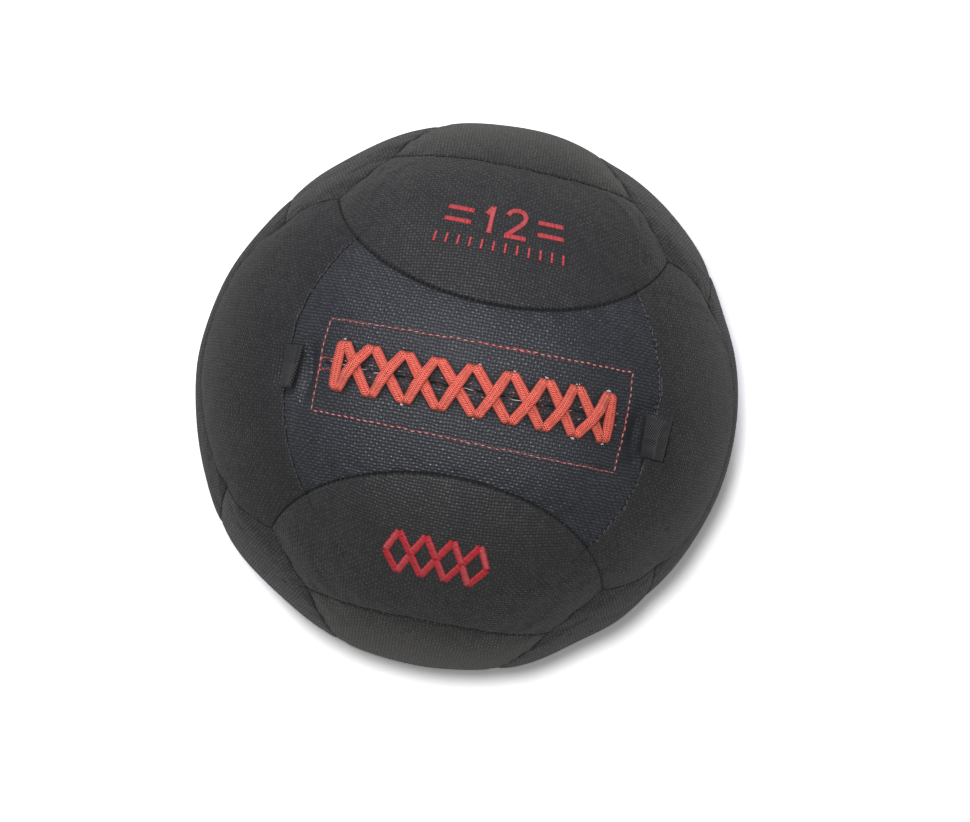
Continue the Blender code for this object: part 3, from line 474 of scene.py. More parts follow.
@dataclass(frozen=True)
class BraidedCord(Finish):
    """Round-braided polyester cord: fine crossing yarns, with a painted highlight where they crown and painted shade,
    deep red, between.
    """

    name: str = "red_braided_cord"
    yarn_pitch: float = 1.05 * MM
    column_width: float = 1.2 * MM
    slope: float = 0.9
    relief: float = 0.55 * MM
    fuzz_size: float = 1.6129 * MM
    crown: str = "ff7562"
    gap: str = "6c0d17"
    haze_tint: str = "ffb09a"

    def build(self, tree: Tree) -> Node:
        """Yarns in columns, each column slanting against the next.

        Args:
            tree: The material's nodes.

        Returns:
            The shader node.
        """
        place, along, across = grain_axes(tree)
        yarn, column = slanting_columns(tree, along, across, self.yarn_pitch, self.column_width, self.slope)
        yarns = add_node(tree, "Math", PRODUCT, {0: crests(tree, yarn), 1: 0.7})
        weave = add_node(tree, "Math", PRODUCT_SUM, {0: crests(tree, column), 1: 0.3, 2: yarns.outputs[0]})
        fuzz = add_node(tree, "TexNoise", ON_CLOTH,
                        {"Vector": place, "Scale": 1 / self.fuzz_size, "Detail": 3.0, "Roughness": 0.7})
        height = add_node(tree, "Math", PRODUCT_SUM, {0: fuzz.outputs["Fac"], 1: 0.75, 2: weave.outputs[0]})
        bump = add_node(tree, "Bump", inputs={"Strength": 1.0, "Distance": self.relief, "Height": height.outputs[0]})
        # Painted highlight and shade: the colour goes from the deep red gap colour between the yarns to the light crown
        # colour on top
        shade = add_node(tree, "MapRange", inputs={"Value": height.outputs[0], "From Min": 0.46, "From Max": 1.2})
        colour = add_node(tree, "Mix", COLOURS,
                          {"Factor": shade.outputs[0], "A": linear(self.gap), "B": linear(self.crown)})
        # Painted shade: towards its sides, as seen from the camera, the cord's colour darkens to the gap colour
        facing = add_node(tree, "LayerWeight", inputs={"Blend": 0.4})
        turned = add_node(tree, "MapRange",
                          inputs={"Value": facing.outputs["Facing"], "From Min": 0.15, "From Max": 0.8, "To Max": 0.62})
        sides = add_node(tree, "Mix", COLOURS,
                         {"Factor": turned.outputs[0], "A": colour.outputs["Result"], "B": linear(self.gap)})
        return add_node(tree, "BsdfPrincipled",
                        inputs={"Base Color": sides.outputs["Result"], "Roughness": 0.48, "Specular IOR Level": 0.5,
                                "Sheen Weight": 0.12, "Sheen Roughness": 0.4, "Sheen Tint": linear(self.haze_tint),
                                "Normal": bump.outputs[0]})


@dataclass(frozen=True)
class Webbing(Finish):
    """Woven polyester webbing: close ribs across the strap, with a faint gleam along them."""

    name: str = "black_webbing"
    rib_pitch: float = 1.35 * MM
    column_width: float = 12.4 * MM
    # How far a rib climbs across its column, as a share of the column's width
    climb: float = 0.8
    relief: float = 0.3 * MM
    fuzz_size: float = 0.90909 * MM
    shade_reach: float = 7 * MM
    crown: str = "3d3d3f"
    gap: str = "030304"

    def build(self, tree: Tree) -> Node:
        """Slanting ribs that turn back on themselves across the strap.

        Args:
            tree: The material's nodes.

        Returns:
            The shader node.
        """
        place, along, across = grain_axes(tree)
        slope = self.climb * self.column_width / self.rib_pitch
        rib = slanting_columns(tree, along, across, self.rib_pitch, self.column_width, slope)[0]
        fuzz = add_node(tree, "TexNoise", ON_CLOTH, {"Vector": place, "Scale": 1 / self.fuzz_size, "Detail": 2.0})
        weave = add_node(tree, "Math", PRODUCT_SUM, {0: fuzz.outputs["Fac"], 1: 0.4, 2: crests(tree, rib)}).outputs[0]
        bump = add_node(tree, "Bump", inputs={"Strength": 1.0, "Distance": self.relief, "Height": weave})
        # Painted shade and highlight: the colour goes from the near-black gap colour between the ribs to the crown
        # colour on top
        shade = add_node(tree, "MapRange", inputs={"Value": weave, "From Min": 0.42, "From Max": 1.2})
        colour = add_node(tree, "Mix", COLOURS,
                          {"Factor": shade.outputs[0], "A": linear(self.gap), "B": linear(self.crown)})
        shaded, rough = contact_shade(tree, colour.outputs["Result"], 0.6, self.shade_reach)
        return add_node(tree, "BsdfPrincipled",
                        inputs={"Base Color": shaded, "Roughness": rough, "Specular IOR Level": 0.4,
                                "Sheen Weight": 0.08, "Sheen Roughness": 0.4, "Sheen Tint": linear("c8c8c8"),
                                "Normal": bump.outputs[0]})


@dataclass(frozen=True)
class Thread(Finish):
    """Twisted polyester sewing thread: smooth plies that catch a line of light."""

    body: str
    groove: str
    sheen: str = "ffffff"
    ply_pitch: float = 0.7 * MM
    relief: float = 0.12 * MM
    gloss: float = 0.42

    def build(self, tree: Tree) -> Node:
        """Slanting plies along the thread.

        Args:
            tree: The material's nodes.

        Returns:
            The shader node.
        """
        along, across = grain_axes(tree)[1:]
        slant = add_node(tree, "Math", {"operation": "ADD"}, {0: along, 1: across})
        plies = add_node(tree, "Math", PRODUCT, {0: slant.outputs[0], 1: 1 / self.ply_pitch})
        ply = crests(tree, plies.outputs[0])
        # Painted shade: the colour darkens to the groove colour between the plies
        colour = add_node(tree, "Mix", COLOURS, {"Factor": ply, "A": linear(self.groove), "B": linear(self.body)})
        bump = add_node(tree, "Bump", inputs={"Strength": 0.8, "Distance": self.relief, "Height": ply})
        return add_node(tree, "BsdfPrincipled",
                        inputs={"Base Color": colour.outputs["Result"], "Roughness": self.gloss,
                                "Specular IOR Level": 0.6, "Sheen Weight": 0.2, "Sheen Roughness": 0.3,
                                "Sheen Tint": linear(self.sheen), "Normal": bump.outputs[0]})


@dataclass(frozen=True)
class SatinStitch(Finish):
    """Embroidered satin stitch: close glossy threads laid straight across each stroke."""

    thread_pitch: float = 0.8 * MM
    relief: float = 0.3 * MM
    body: str = "e2343f"
    deep: str = "7a0d1c"
    sheen: str = "ff9a94"

    def build(self, tree: Tree) -> Node:
        """Ribs across the stroke, each thread with its own tone, darkened between the threads as painted shade.

        Args:
            tree: The material's nodes.

        Returns:
            The shader node.
        """
        threads = add_node(tree, "Math", PRODUCT, {0: grain_axes(tree)[1], 1: 1 / self.thread_pitch})
        number = add_node(tree, "Math", {"operation": "FLOOR"}, {0: threads.outputs[0]})
        lot = add_node(tree, "TexWhiteNoise", {"noise_dimensions": "1D"}, {"W": number.outputs[0]})
        # Each thread's own random tone, plus painted shade between the threads
        shade = add_node(tree, "Math", PRODUCT_SUM,
                         {0: lot.outputs["Value"], 1: 0.5, 2: crests(tree, threads.outputs[0])})
        share = add_node(tree, "MapRange", inputs={"Value": shade.outputs[0], "From Min": 0.3, "From Max": 1.4})
        colour = add_node(tree, "Mix", COLOURS,
                          {"Factor": share.outputs[0], "A": linear(self.deep), "B": linear(self.body)})
        bump = add_node(tree, "Bump", inputs={"Strength": 1.0, "Distance": self.relief, "Height": shade.outputs[0]})
        return add_node(tree, "BsdfPrincipled",
                        inputs={"Base Color": colour.outputs["Result"], "Roughness": 0.42, "Specular IOR Level": 0.55,
                                "Anisotropic": 0.4, "Sheen Weight": 0.05, "Sheen Roughness": 0.3,
                                "Sheen Tint": linear(self.sheen), "Normal": bump.outputs[0]})


@dataclass(frozen=True)
class PlainCloth(Finish):
    """Plain cloth, fibre, sand or nylon inside the ball: dull, with a fine grain."""

    light: str
    dark: str
    grain: float = 1.2 * MM
    relief: float = 0.15 * MM

    def build(self, tree: Tree) -> Node:
        """Fine noise in colour and height.

        Args:
            tree: The material's nodes.

        Returns:
            The shader node.
        """
        place = add_node(tree, "TexCoord")
        noise = add_node(tree, "TexNoise",
                         inputs={"Vector": place.outputs["Object"], "Scale": 1 / self.grain, "Detail": 4.0,
                                 "Roughness": 0.65})
        colour = add_node(tree, "Mix", COLOURS,
                          {"Factor": noise.outputs["Fac"], "A": linear(self.dark), "B": linear(self.light)})
        bump = add_node(tree, "Bump", inputs={"Strength": 1.0, "Distance": self.relief, "Height": noise.outputs["Fac"]})
        return add_node(tree, "BsdfPrincipled",
                        inputs={"Base Color": colour.outputs["Result"], "Roughness": 0.85, "Specular IOR Level": 0.3,
                                "Sheen Weight": 0.2, "Sheen Roughness": 0.5, "Sheen Tint": linear("ffffff"),
                                "Normal": bump.outputs[0]})


@dataclass(frozen=True)
class StudioPaper(Finish):
    """Seamless white paper: exposed to white for the camera, while the ball's shadow stays on it."""

    name: str = "white_studio_paper"
    lift: float = 0.05
    exposure: float = 1.92

    def build(self, tree: Tree) -> Node:
        """Dull white; the camera alone sees it overexposed, and its light on the ball stays plain.

        Args:
            tree: The material's nodes.

        Returns:
            The shader node.
        """
        paper = add_node(tree, "BsdfDiffuse", inputs={"Color": linear("f2f2f2")})
        bright = add_node(tree, "BsdfDiffuse", inputs={"Color": (self.exposure, self.exposure, self.exposure, 1.0)})
        glow = add_node(tree, "Emission", inputs={"Color": (1, 1, 1, 1), "Strength": self.lift})
        rays = add_node(tree, "LightPath")
        lit = add_node(tree, "AddShader", inputs={0: bright.outputs[0], 1: glow.outputs[0]})
        return add_node(tree, "MixShader",
                        inputs={0: rays.outputs["Is Camera Ray"], 1: paper.outputs[0], 2: lit.outputs[0]})


# The laced panel's coated canvas; the blue tint of its colours is a painted reflection of the cool light above it
COATED = CoatedCanvas("black_coated_canvas")
CANVAS = CoatedCanvas("black_plain_canvas", thread_relief=0.34 * MM, crown="343437", gap="111113", worn="3c3c3d",
                      dull=0.8, gleam=0.42, specular=0.5, haze=0.15, haze_tint="d0d0c6", lead=0.4, uneven=0.5)
# Painted light: the left panels get darker colours and less sheen as shade, the top and bottom panels more, warmer
# sheen
LEFT_SHADED_CANVAS = replace(CANVAS, name="black_canvas_painted_shade_left", haze=0.08, crown="2f2f31", worn="373738")
TOP_BOTTOM_LIT_CANVAS = replace(CANVAS, name="black_canvas_painted_sheen_top_bottom", haze=0.2, haze_tint="d4d2c2")
PANEL_FINISHES = {("z", 1): COATED, ("x", -1, 1): LEFT_SHADED_CANVAS, ("x", -1): LEFT_SHADED_CANVAS,
                  ("y", 1): TOP_BOTTOM_LIT_CANVAS, ("y", -1): TOP_BOTTOM_LIT_CANVAS}
CORD = BraidedCord()
STRAP = Webbing()
# The red thread's colours are set pale pink, a painted highlight along its top
RED_THREAD = Thread("red_sewing_thread", "dcb2aa", "985a56", sheen="fff0ea")
DARK_THREAD = Thread("dark_red_thread", "73363b", "330d13", sheen="a05a5a")
BRIGHT_THREAD = Thread("bright_red_thread", "ee5a52", "8a1c22", sheen="ffb0a6")
# Painted highlight: the black end-seam thread is coloured grey for its glints, lighter on the right seam than the left
GLINTING_BLACK_THREAD = Thread("black_thread_painted_grey_glint", "77777a", "1b1b1d")
DIM_GLINTING_BLACK_THREAD = Thread("black_thread_painted_dim_glint", "505053", "1b1b1d")
WHITE_THREAD = Thread("white_cotton_thread", "e6e4df", "a9a6a0")
SATIN = SatinStitch("red_embroidery_thread")
LIGHT_SATIN = SatinStitch("light_red_embroidery_thread", body="ee5c60", deep="962834")
BACKING_CLOTH = PlainCloth("white_backing_cloth", "e9e6df", "b9b5ad")
TONGUE_CLOTH = PlainCloth("black_lining_cloth", "232327", "101013")
BAG_CLOTH = PlainCloth("grey_nonwoven_cloth", "9a9a9c", "6f6f72")
FIBRE = PlainCloth("white_fibre_fill", "f0eee8", "c9c5bb", grain=3.0 * MM, relief=0.6 * MM)
CORE_CLOTH = PlainCloth("blue_bag_cloth", "39486b", "222c45")
SAND_GRAINS = PlainCloth("iron_sand", "5b524c", "2c2724", grain=1.0 * MM, relief=0.3 * MM)
TIE_NYLON = PlainCloth("black_moulded_nylon", "202022", "161618", grain=2.0 * MM, relief=0.03 * MM)
PAPER = StudioPaper()


# Form of the cover

X_AXIS, Y_AXIS, Z_AXIS = np.eye(3)
FACE_AXES = {"z": (Z_AXIS, X_AXIS, Y_AXIS), "y": (Y_AXIS, Z_AXIS, X_AXIS), "x": (X_AXIS, Y_AXIS, Z_AXIS)}
STITCH_PITCH = {Seam.LONG: 3.4 * MM, Seam.END: 4.0 * MM}
# The weight of the ball presses a flat this deep into it
REST_FLAT = 0.5 * MM


@dataclass
class SeamPattern:
    """The eighteen-panel seam pattern, in cube-face coordinates."""

    diameter: float = 355 * MM
    waist_width: float = 102.5 * MM
    panel_length: float = 237 * MM
    end_bow: float = 0.52
    # How hard the seams are drawn in: the laced panel's at both ends and what is added at their middle, and the rest
    main_weight: float = 0.45
    middle_weight: float = 0.55
    plain_weight: float = 0.2
    long_steps: int = 300
    end_steps: int = 160
    corner: tuple[float, float] = field(init=False)
    samples: Array = field(init=False)
    tangents: Array = field(init=False)
    runs: Array = field(init=False)
    kinds: Array = field(init=False)
    weights: Array = field(init=False)
    corners: Array = field(init=False)

    def __post_init__(self) -> None:
        """Find where the seams meet, and lay close-spaced samples along every seam."""
        low, high, close = 0.0, math.tan(self.panel_length / self.diameter), 1e-9
        while high - low > close:
            middle = (low + high) / 2
            low, high = (middle, high) if self.end_seam(self.long_seam(middle)) > middle else (low, middle)
        self.corner = (low, float(self.long_seam(low)))
        samples, tangents, runs, kinds, weights, corners = [], [], [], [], [], []
        for key in FACE_AXES:
            for sign in (1, -1):
                for side in (1, -1):
                    along = np.linspace(-1.0, 1.0, self.long_steps)
                    across = np.linspace(-self.corner[1], self.corner[1], self.end_steps)
                    lines = ((Seam.LONG, self.on_face(key, sign, along, side * self.long_seam(along))),
                             (Seam.END, self.on_face(key, sign, side * self.end_seam(across), across)))
                    for kind, line in lines:
                        middle = 1 - np.abs(np.linspace(-1.0, 1.0, len(line))) ** 3
                        main = key == "z" and sign == 1
                        weights.append(self.main_weight + self.middle_weight * middle if main
                                       else np.full(len(line), self.plain_weight))
                        samples.append(line)
                        tangents.append(unit(np.gradient(line, axis=0)))
                        runs.append(run_along(line) * self.diameter / 2)
                        kinds.append(np.full(len(line), kind.value))
                        corners.append(line[[0, -1]])
        self.samples, self.tangents = np.concatenate(samples), np.concatenate(tangents)
        self.runs, self.kinds, self.weights = map(np.concatenate, (runs, kinds, weights))
        self.corners = np.concatenate(corners)

    def long_seam(self, along: Array | float) -> Array:
        """Return the long seam's distance from a face's middle line."""
        waist = math.tan(self.waist_width / self.diameter)
        return waist + (1.0 - waist) * np.square(along)

    def end_seam(self, across: Array | float) -> Array:
        """Return the end seam's distance from a face's middle."""
        return math.tan(self.panel_length / self.diameter) - self.end_bow * np.square(across)

    def on_face(self, key: str, sign: int, along: Array, across: Array) -> Array:
        """Return the direction of points given on one face of the cube.

        Args:
            key: the face's axis.
            sign: 1 or -1, for the face on that side.
            along: the points' places along the face's panel, 1 at the cube's edge.
            across: their places across it.

        Returns:
            Unit directions.
        """
        normal, long_axis, short_axis = FACE_AXES[key]
        along, across = np.asarray(along)[..., None], np.asarray(across)[..., None]
        return unit(sign * normal + along * long_axis + across * short_axis)

    def nearest(self, directions: Array) -> tuple[Array, Array, Array, Array]:
        """Return each direction's distance to the nearest seam, and that seam's run, kind and weight.

        Args:
            directions: unit directions.

        Returns:
            The distance and the run, in metres, True for end seams, and how hard the seam is drawn in.
        """
        flat = directions.reshape(-1, 3)
        away, run, weight = np.zeros((3, len(flat)))
        end = np.zeros(len(flat), dtype=bool)
        scale, lot = self.diameter / 2, 2000
        for start in range(0, len(flat), lot):
            part = slice(start, start + lot)
            best = (flat[part] @ self.samples.T).argmax(axis=1)
            offset = flat[part] - self.samples[best]
            along = np.einsum("ij,ij->i", offset, self.tangents[best])
            square = np.einsum("ij,ij->i", offset, offset) - along ** 2
            away[part] = scale * np.sqrt(np.clip(square, 0, None))
            run[part] = self.runs[best] + scale * along
            end[part] = self.kinds[best] == Seam.END.value
            weight[part] = self.weights[best]
        shape = directions.shape[:-1]
        return away.reshape(shape), run.reshape(shape), end.reshape(shape), weight.reshape(shape)


@dataclass
class CoverForm:
    """The cover's relief: crown between the seams, folds and pits at them, and the filling's unevenness."""

    pattern: SeamPattern
    centre: Array
    loop_feet: Array
    crown_rise: float = 1.4 * MM
    crown_reach: float = 24 * MM
    pull_depth: float = 0.9 * MM
    pull_reach: float = 7 * MM
    fold_depth: float = 1.0 * MM
    end_fold_depth: float = 0.8 * MM
    fold_width: float = 1.3 * MM
    pit_depth: float = 1.2 * MM
    # What an end seam has of a long seam's fold width and pull, and of its pits
    end_share: float = 0.7
    end_pit_share: float = 0.4
    # The seams' depth is uneven over this width
    strength_width: float = 16 * MM
    pucker_height: float = 0.38 * MM
    pucker_length: float = 6.8 * MM
    lump_height: float = 0.45 * MM
    lump_width: float = 40 * MM
    pinch_depth: float = 0.8 * MM
    pinch_reach: float = 9 * MM
    dent_depth: float = 1.6 * MM
    dent_reach: float = 20 * MM
    # Hollows pressed into the filling beside the webbing loops: place along and across the slit, half-widths, depth
    hollows: tuple = ((-101, -6, 5, 14, 6.2), (-119, -6, 7, 14, 2.2), (104, -4, 6, 15, 4.8),
                      (109, -22, 7, 4, 4.0), (112, 10, 7, 4, 2.4), (120, -6, 8, 15, 3.2))
    slit_half: float = 92 * MM
    slit_dip: float = 0.8 * MM
    dip_reach: float = 1.5 * MM
    # The hems beside the slit: their share of the dip, their distance from it and their reach
    hem: tuple[float, float, float] = (0.4, 3 * MM, 1.3 * MM)
    slit_fade: float = 4 * MM
    # Broad bulges at the ball's outline: azimuth and half-width in degrees, and height
    bulges: tuple = ((44, 10, 1.5 * MM), (70, 24, 4.0 * MM), (103, 10, 2.0 * MM), (146, 20, -4.2 * MM),
                     (219, 13, 4.2 * MM), (252, 10, 2.6 * MM), (290, 8, 2.5 * MM), (306, 7, -2.5 * MM),
                     (332, 26, -2.4 * MM), (30, 7, -1.4 * MM), (126, 9, -1.6 * MM), (207, 8, -1.3 * MM))

    @property
    def radius(self) -> float:
        """Return the ball's radius."""
        return self.pattern.diameter / 2

    def surface(self, directions: Array) -> tuple[Array, Array]:
        """Return the radius of the cover, and the seam coordinates, for each direction.

        Args:
            directions: unit directions from the ball's centre.

        Returns:
            The radius, and pairs of stitches along and distance from the nearest seam.
        """
        away, run, end, weight = self.pattern.nearest(directions)
        stitch = run / np.where(end, STITCH_PITCH[Seam.END], STITCH_PITCH[Seam.LONG])
        beat = 0.5 - 0.5 * np.cos(2 * math.pi * stitch)
        points = directions * self.radius
        strength = 0.85 + 0.25 * smooth_noise(points, self.strength_width, 7)
        width = self.fold_width * np.where(end, self.end_share, 0.55 + 0.6 * beat * weight)
        share = np.clip(1 - away / width, 0.0, 1.0)
        profile = share * share * (3 - 2 * share)
        pit = self.pit_depth * beat * np.where(end, self.end_pit_share, 1.0)
        fold = np.where(end, self.end_fold_depth, self.fold_depth) + pit
        fold = fold * strength * profile * (0.35 + 0.65 * weight)
        pull = self.pull_depth * np.where(end, self.end_share, 1.0) * np.exp(-away / self.pull_reach)
        crown = self.crown_rise * np.exp(-away / self.crown_reach)
        gather = smooth_noise(np.stack([run, 0.35 * away, 0 * run], axis=-1), self.pucker_length, 3)
        pucker = self.pucker_height * gather * np.exp(-away / (self.pucker_length * 1.2)) * (1 - profile)
        dent = self.near(directions, self.loop_feet, self.dent_reach)
        lump = self.lump_height * (smooth_noise(points, self.lump_width, 5) - 0.3) * (1 - dent)
        pinch = self.pinch_depth * self.near(directions, self.pattern.corners, self.pinch_reach)
        azimuth = np.degrees(np.arctan2(directions[..., 1], directions[..., 0]))
        rim = 1 - np.square(directions[..., 2])
        bulge = sum(height * np.exp(-np.square(((azimuth - place + 180) % 360 - 180) / half))
                    for place, half, height in self.bulges) * rim ** 3
        radius = self.radius - fold - pull - crown - pinch - self.dent_depth * dent + pucker + lump + bulge
        radius = radius - self.lips(directions)
        along, across = self.arcs(directions)
        for x, y, wide, high, depth in self.hollows:
            gap = np.square((along / MM - x) / wide) + np.square((across / MM - y) / high)
            radius = radius - depth * MM * np.exp(-gap) * (directions[..., 2] > 0)
        # Near the ball's lowest point the cover is flat on the floor
        floor = np.where(directions[..., 2] < -0.9, self.centre[2] / np.clip(-directions[..., 2], 0.5, 1), 1.0)
        seam = np.stack([stitch, away * np.where(end, 1.6, 0.4 + 0.6 / weight)], axis=-1)
        return np.minimum(radius, floor), seam

    def near(self, directions: Array, places: Array, reach: float) -> Array:
        """Return 1 at the nearest of some places on the ball, fading to 0 over a reach.

        Args:
            directions: unit directions.
            places: the places' unit directions.
            reach: how far away little is left.

        Returns:
            One value for each direction.
        """
        closeness = (directions @ places.T).max(axis=-1)
        gap = self.radius * np.sqrt(np.clip(2 - 2 * closeness, 0, 4))
        return np.exp(-np.square(gap / reach))

    def arcs(self, directions: Array) -> tuple[Array, Array]:
        """Return the arc lengths of directions along and across the slit, from its middle."""
        along = np.arctan2(directions[..., 0], directions[..., 2]) * self.radius
        return along, np.arcsin(np.clip(directions[..., 1], -1, 1)) * self.radius

    def lips(self, directions: Array) -> Array:
        """Return how far the cover dips at the laced slit, between two slightly raised hems.

        Args:
            directions: unit directions.

        Returns:
            The depth, negative on the hems.
        """
        along, across = self.arcs(directions)
        share, place, reach = self.hem
        inside = np.clip((self.slit_half - np.abs(along)) / self.slit_fade, 0, 1) * (directions[..., 2] > 0)
        raised = share * np.exp(-np.square((np.abs(across) - place) / reach))
        return self.slit_dip * (np.exp(-np.square(across / self.dip_reach)) - raised) * inside


@dataclass
class ClothRun:
    """Blender's cloth, run on the whole cover at once: each panel swells over the filling, held by its seams."""

    centre: Array
    pressure: float = 2.0
    slack: float = 0.02
    frames: int = 20
    cap: float = 0.5 * MM
    quality: int = 6
    mass: float = 0.05
    bending: float = 0.6
    merge: float = 0.001 * MM

    def shifts(self, grids: list[Array]) -> list[Array]:
        """Run the cloth from coarse grids of points.

        Args:
            grids: one grid of points for each panel.

        Returns: How far each point moved, grid by grid.
        """
        points, faces, pinned = [], [], []
        for grid in grids:
            start = sum(len(part) for part in points)
            rows, columns = grid.shape[:2]
            faces += grid_quads(rows, columns, start)
            pinned += [start + number for number in border_loop(rows, columns)]
            points.append(grid.reshape(-1, 3))
        flat = np.concatenate(points)
        # Where a panel runs to a point its grid's corners meet, and such faces would stop the solver
        spots = {}
        rounded = np.rint(flat / self.merge).astype(int)
        same = [spots.setdefault(tuple(spot), number) for number, spot in enumerate(rounded)]
        faces = [list(dict.fromkeys(same[number] for number in face)) for face in faces]
        sheet = mesh_object("cloth_run", flat, [face for face in faces if len(face) > 2], CANVAS)
        sheet.vertex_groups.new(name="seams").add(pinned, 1.0, "REPLACE")
        cloth = sheet.modifiers.new("cloth", "CLOTH")
        settings = cloth.settings
        settings.quality, settings.mass = self.quality, self.mass
        settings.use_pressure, settings.uniform_pressure_force = True, self.pressure
        settings.shrink_min = -self.slack
        settings.bending_stiffness = self.bending
        settings.effector_weights.gravity = 0.0
        settings.vertex_group_mass = "seams"
        cloth.point_cache.frame_start, cloth.point_cache.frame_end = 1, self.frames
        scene = bpy.context.scene
        for frame_number in range(1, self.frames + 1):
            scene.frame_set(frame_number)
        moved = np.zeros(flat.size)
        evaluated = sheet.evaluated_get(bpy.context.evaluated_depsgraph_get())
        evaluated.data.vertices.foreach_get("co", moved)
        outward = unit(flat - self.centre)
        rise = np.einsum("ij,ij->i", moved.reshape(-1, 3) - flat, outward)
        rise = self.cap * np.tanh(rise.clip(0) / self.cap)
        LOG.info("cloth run: panels swell %.2f mm most, %.2f mm mean", rise.max() / MM, rise.mean() / MM)
        shift = outward * rise[:, None]
        scene.frame_set(1)
        data = sheet.data
        bpy.data.objects.remove(sheet)
        bpy.data.meshes.remove(data)
        cuts = np.cumsum([len(part) for part in points])[:-1]
        return [part.reshape(grid.shape) for part, grid in zip(np.split(shift, cuts), grids)]


def resample(values: Array, rows: int, columns: int) -> Array:
    """Resample a grid of vectors to more rows and columns, on a smooth curve through the old ones.

    Args:
        values: the grid.
        rows: how many rows it gets.
        columns: how many columns it gets.

    Returns:
        The finer grid.
    """
    for axis, count in ((0, rows), (1, columns)):
        size = values.shape[axis]
        place = np.linspace(0, size - 1, count)
        base = np.clip(place.astype(int), 0, size - 2)
        taps = [np.take(values, np.clip(base + step, 0, size - 1), axis=axis) for step in (-1, 0, 1, 2)]
        t = (place - base).reshape([-1 if turn == axis else 1 for turn in range(values.ndim)])
        values = 0.5 * (2 * taps[1] + (taps[2] - taps[0]) * t + (2 * taps[0] - 5 * taps[1] + 4 * taps[2] - taps[3])
                        * t ** 2 + (3 * taps[1] - taps[0] - 3 * taps[2] + taps[3]) * t ** 3)
    return values


@dataclass
class Panel:
    """One padded cover panel: a sheet of canvas over its share of the filling."""

    name: str
    grid: Array
    axes: tuple[Array, Array, Array]
    form: CoverForm
    finish: Finish
    thickness: float = 1.2 * MM
    seam_gap: float = 0.16 * MM
    merge: float = 0.02 * MM

    def build(self, shift: Array) -> tuple[Piece, Array]:
        """Build the panel's closed sheet, with its grain and its seam coordinates.

        Args:
            shift: how far the cloth run moved each point of a coarse grid.

        Returns:
            The panel, and its outer grid of points.
        """
        rows, columns = self.grid.shape[:2]
        directions = self.drawn_in()
        radius, seam = self.form.surface(directions)
        moved = resample(shift, rows, columns)
        outer = self.form.centre + directions * radius[..., None] + moved
        outer[..., 2] = np.maximum(outer[..., 2], 0.0)
        inner = outer - directions * self.thickness
        middle, long_axis, short_axis = self.axes
        along = np.arctan2(directions @ long_axis, directions @ middle) * self.form.radius
        across = np.arcsin(np.clip(directions @ short_axis, -1, 1)) * self.form.radius
        grain = np.stack([along, across], axis=-1)
        points = np.concatenate([outer.reshape(-1, 3), inner.reshape(-1, 3)])
        uvs = {"Grain": np.tile(grain.reshape(-1, 2), (2, 1)), "Seam": np.tile(seam.reshape(-1, 2), (2, 1))}
        panel = mesh_object(self.name + "_cover", points, sheet_faces(rows, columns), self.finish, uvs)
        tidy(panel, self.merge)
        return panel, outer

    def drawn_in(self) -> Array:
        """Move the grid's border in from the seam line by half the gap.

        Returns:
            The grid of directions.
        """
        middle = unit(self.grid.reshape(-1, 3).mean(axis=0))
        share = self.seam_gap / 2 / self.form.radius
        grid = self.grid.copy()
        edge = np.zeros(grid.shape[:2], dtype=bool)
        edge[[0, -1], :] = True
        edge[:, [0, -1]] = True
        grid[edge] = unit(grid[edge] + unit(middle - grid[edge]) * share)
        return grid


def tidy(piece: Piece, distance: float) -> None:
    """Merge points that meet, drop faces without area and turn the faces out.

    Args:
        piece: the mesh object.
        distance: points closer than this become one.
    """
    work = bmesh.new()
    work.from_mesh(piece.data)
    bmesh.ops.remove_doubles(work, verts=work.verts, dist=distance)
    bmesh.ops.dissolve_degenerate(work, edges=work.edges, dist=distance / 10)
    bmesh.ops.recalc_face_normals(work, faces=work.faces)
    work.to_mesh(piece.data)
    work.free()


@dataclass
class CoverSurface:
    """Finds places on the finished cover."""

    centre: Array
    radius: float
    tree: BVHTree

    @classmethod
    def over(cls, form: CoverForm, grids: list[Array]) -> "CoverSurface":
        """Make the finder from the panels' outer grids.

        Args:
            form: the cover's form.
            grids: each panel's outer points.

        Returns:
            The finder.
        """
        points, faces, start = [], [], 0
        for grid in grids:
            faces += grid_quads(*grid.shape[:2], start)
            points.append(grid.reshape(-1, 3))
            start += len(points[-1])
        tree = BVHTree.FromPolygons(np.concatenate(points).tolist(), faces)
        return cls(form.centre, form.radius, tree)

    def at(self, directions: Array, height: Array | float) -> Array:
        """Return points over the cover.

        Args:
            directions: unit directions from the ball's centre.
            height: how high over the cover, negative under it.

        Returns:
            One point for each direction.
        """
        heights = np.broadcast_to(height, directions.shape[:-1])
        found = np.zeros(directions.shape)
        for place in np.ndindex(directions.shape[:-1]):
            direction = Vector(directions[place])
            start = Vector(self.centre) + direction * self.radius * 1.3
            hit = self.tree.ray_cast(start, -direction)[0]
            reach = self.radius if hit is None else (hit - Vector(self.centre)).length
            found[place] = self.centre + directions[place] * (reach + heights[place])
        return found

    def place(self, x: Array, y: Array, height: Array | float) -> Array:
        """Return points at arc lengths x and y from the laced panel's middle, at a height over the cover."""
        return self.at(self.direction(x, y), height)

    def direction(self, x: Array, y: Array) -> Array:
        """Return the directions of places on the laced panel.

        Args:
            x: arc lengths along the slit from the panel's middle.
            y: arc lengths across it.

        Returns:
            Unit directions.
        """
        turn, rise = np.broadcast_arrays(np.asarray(x, dtype=float) / self.radius,
                                         np.asarray(y, dtype=float) / self.radius)
        return np.stack([np.sin(turn) * np.cos(rise), np.sin(rise), np.cos(turn) * np.cos(rise)], axis=-1)


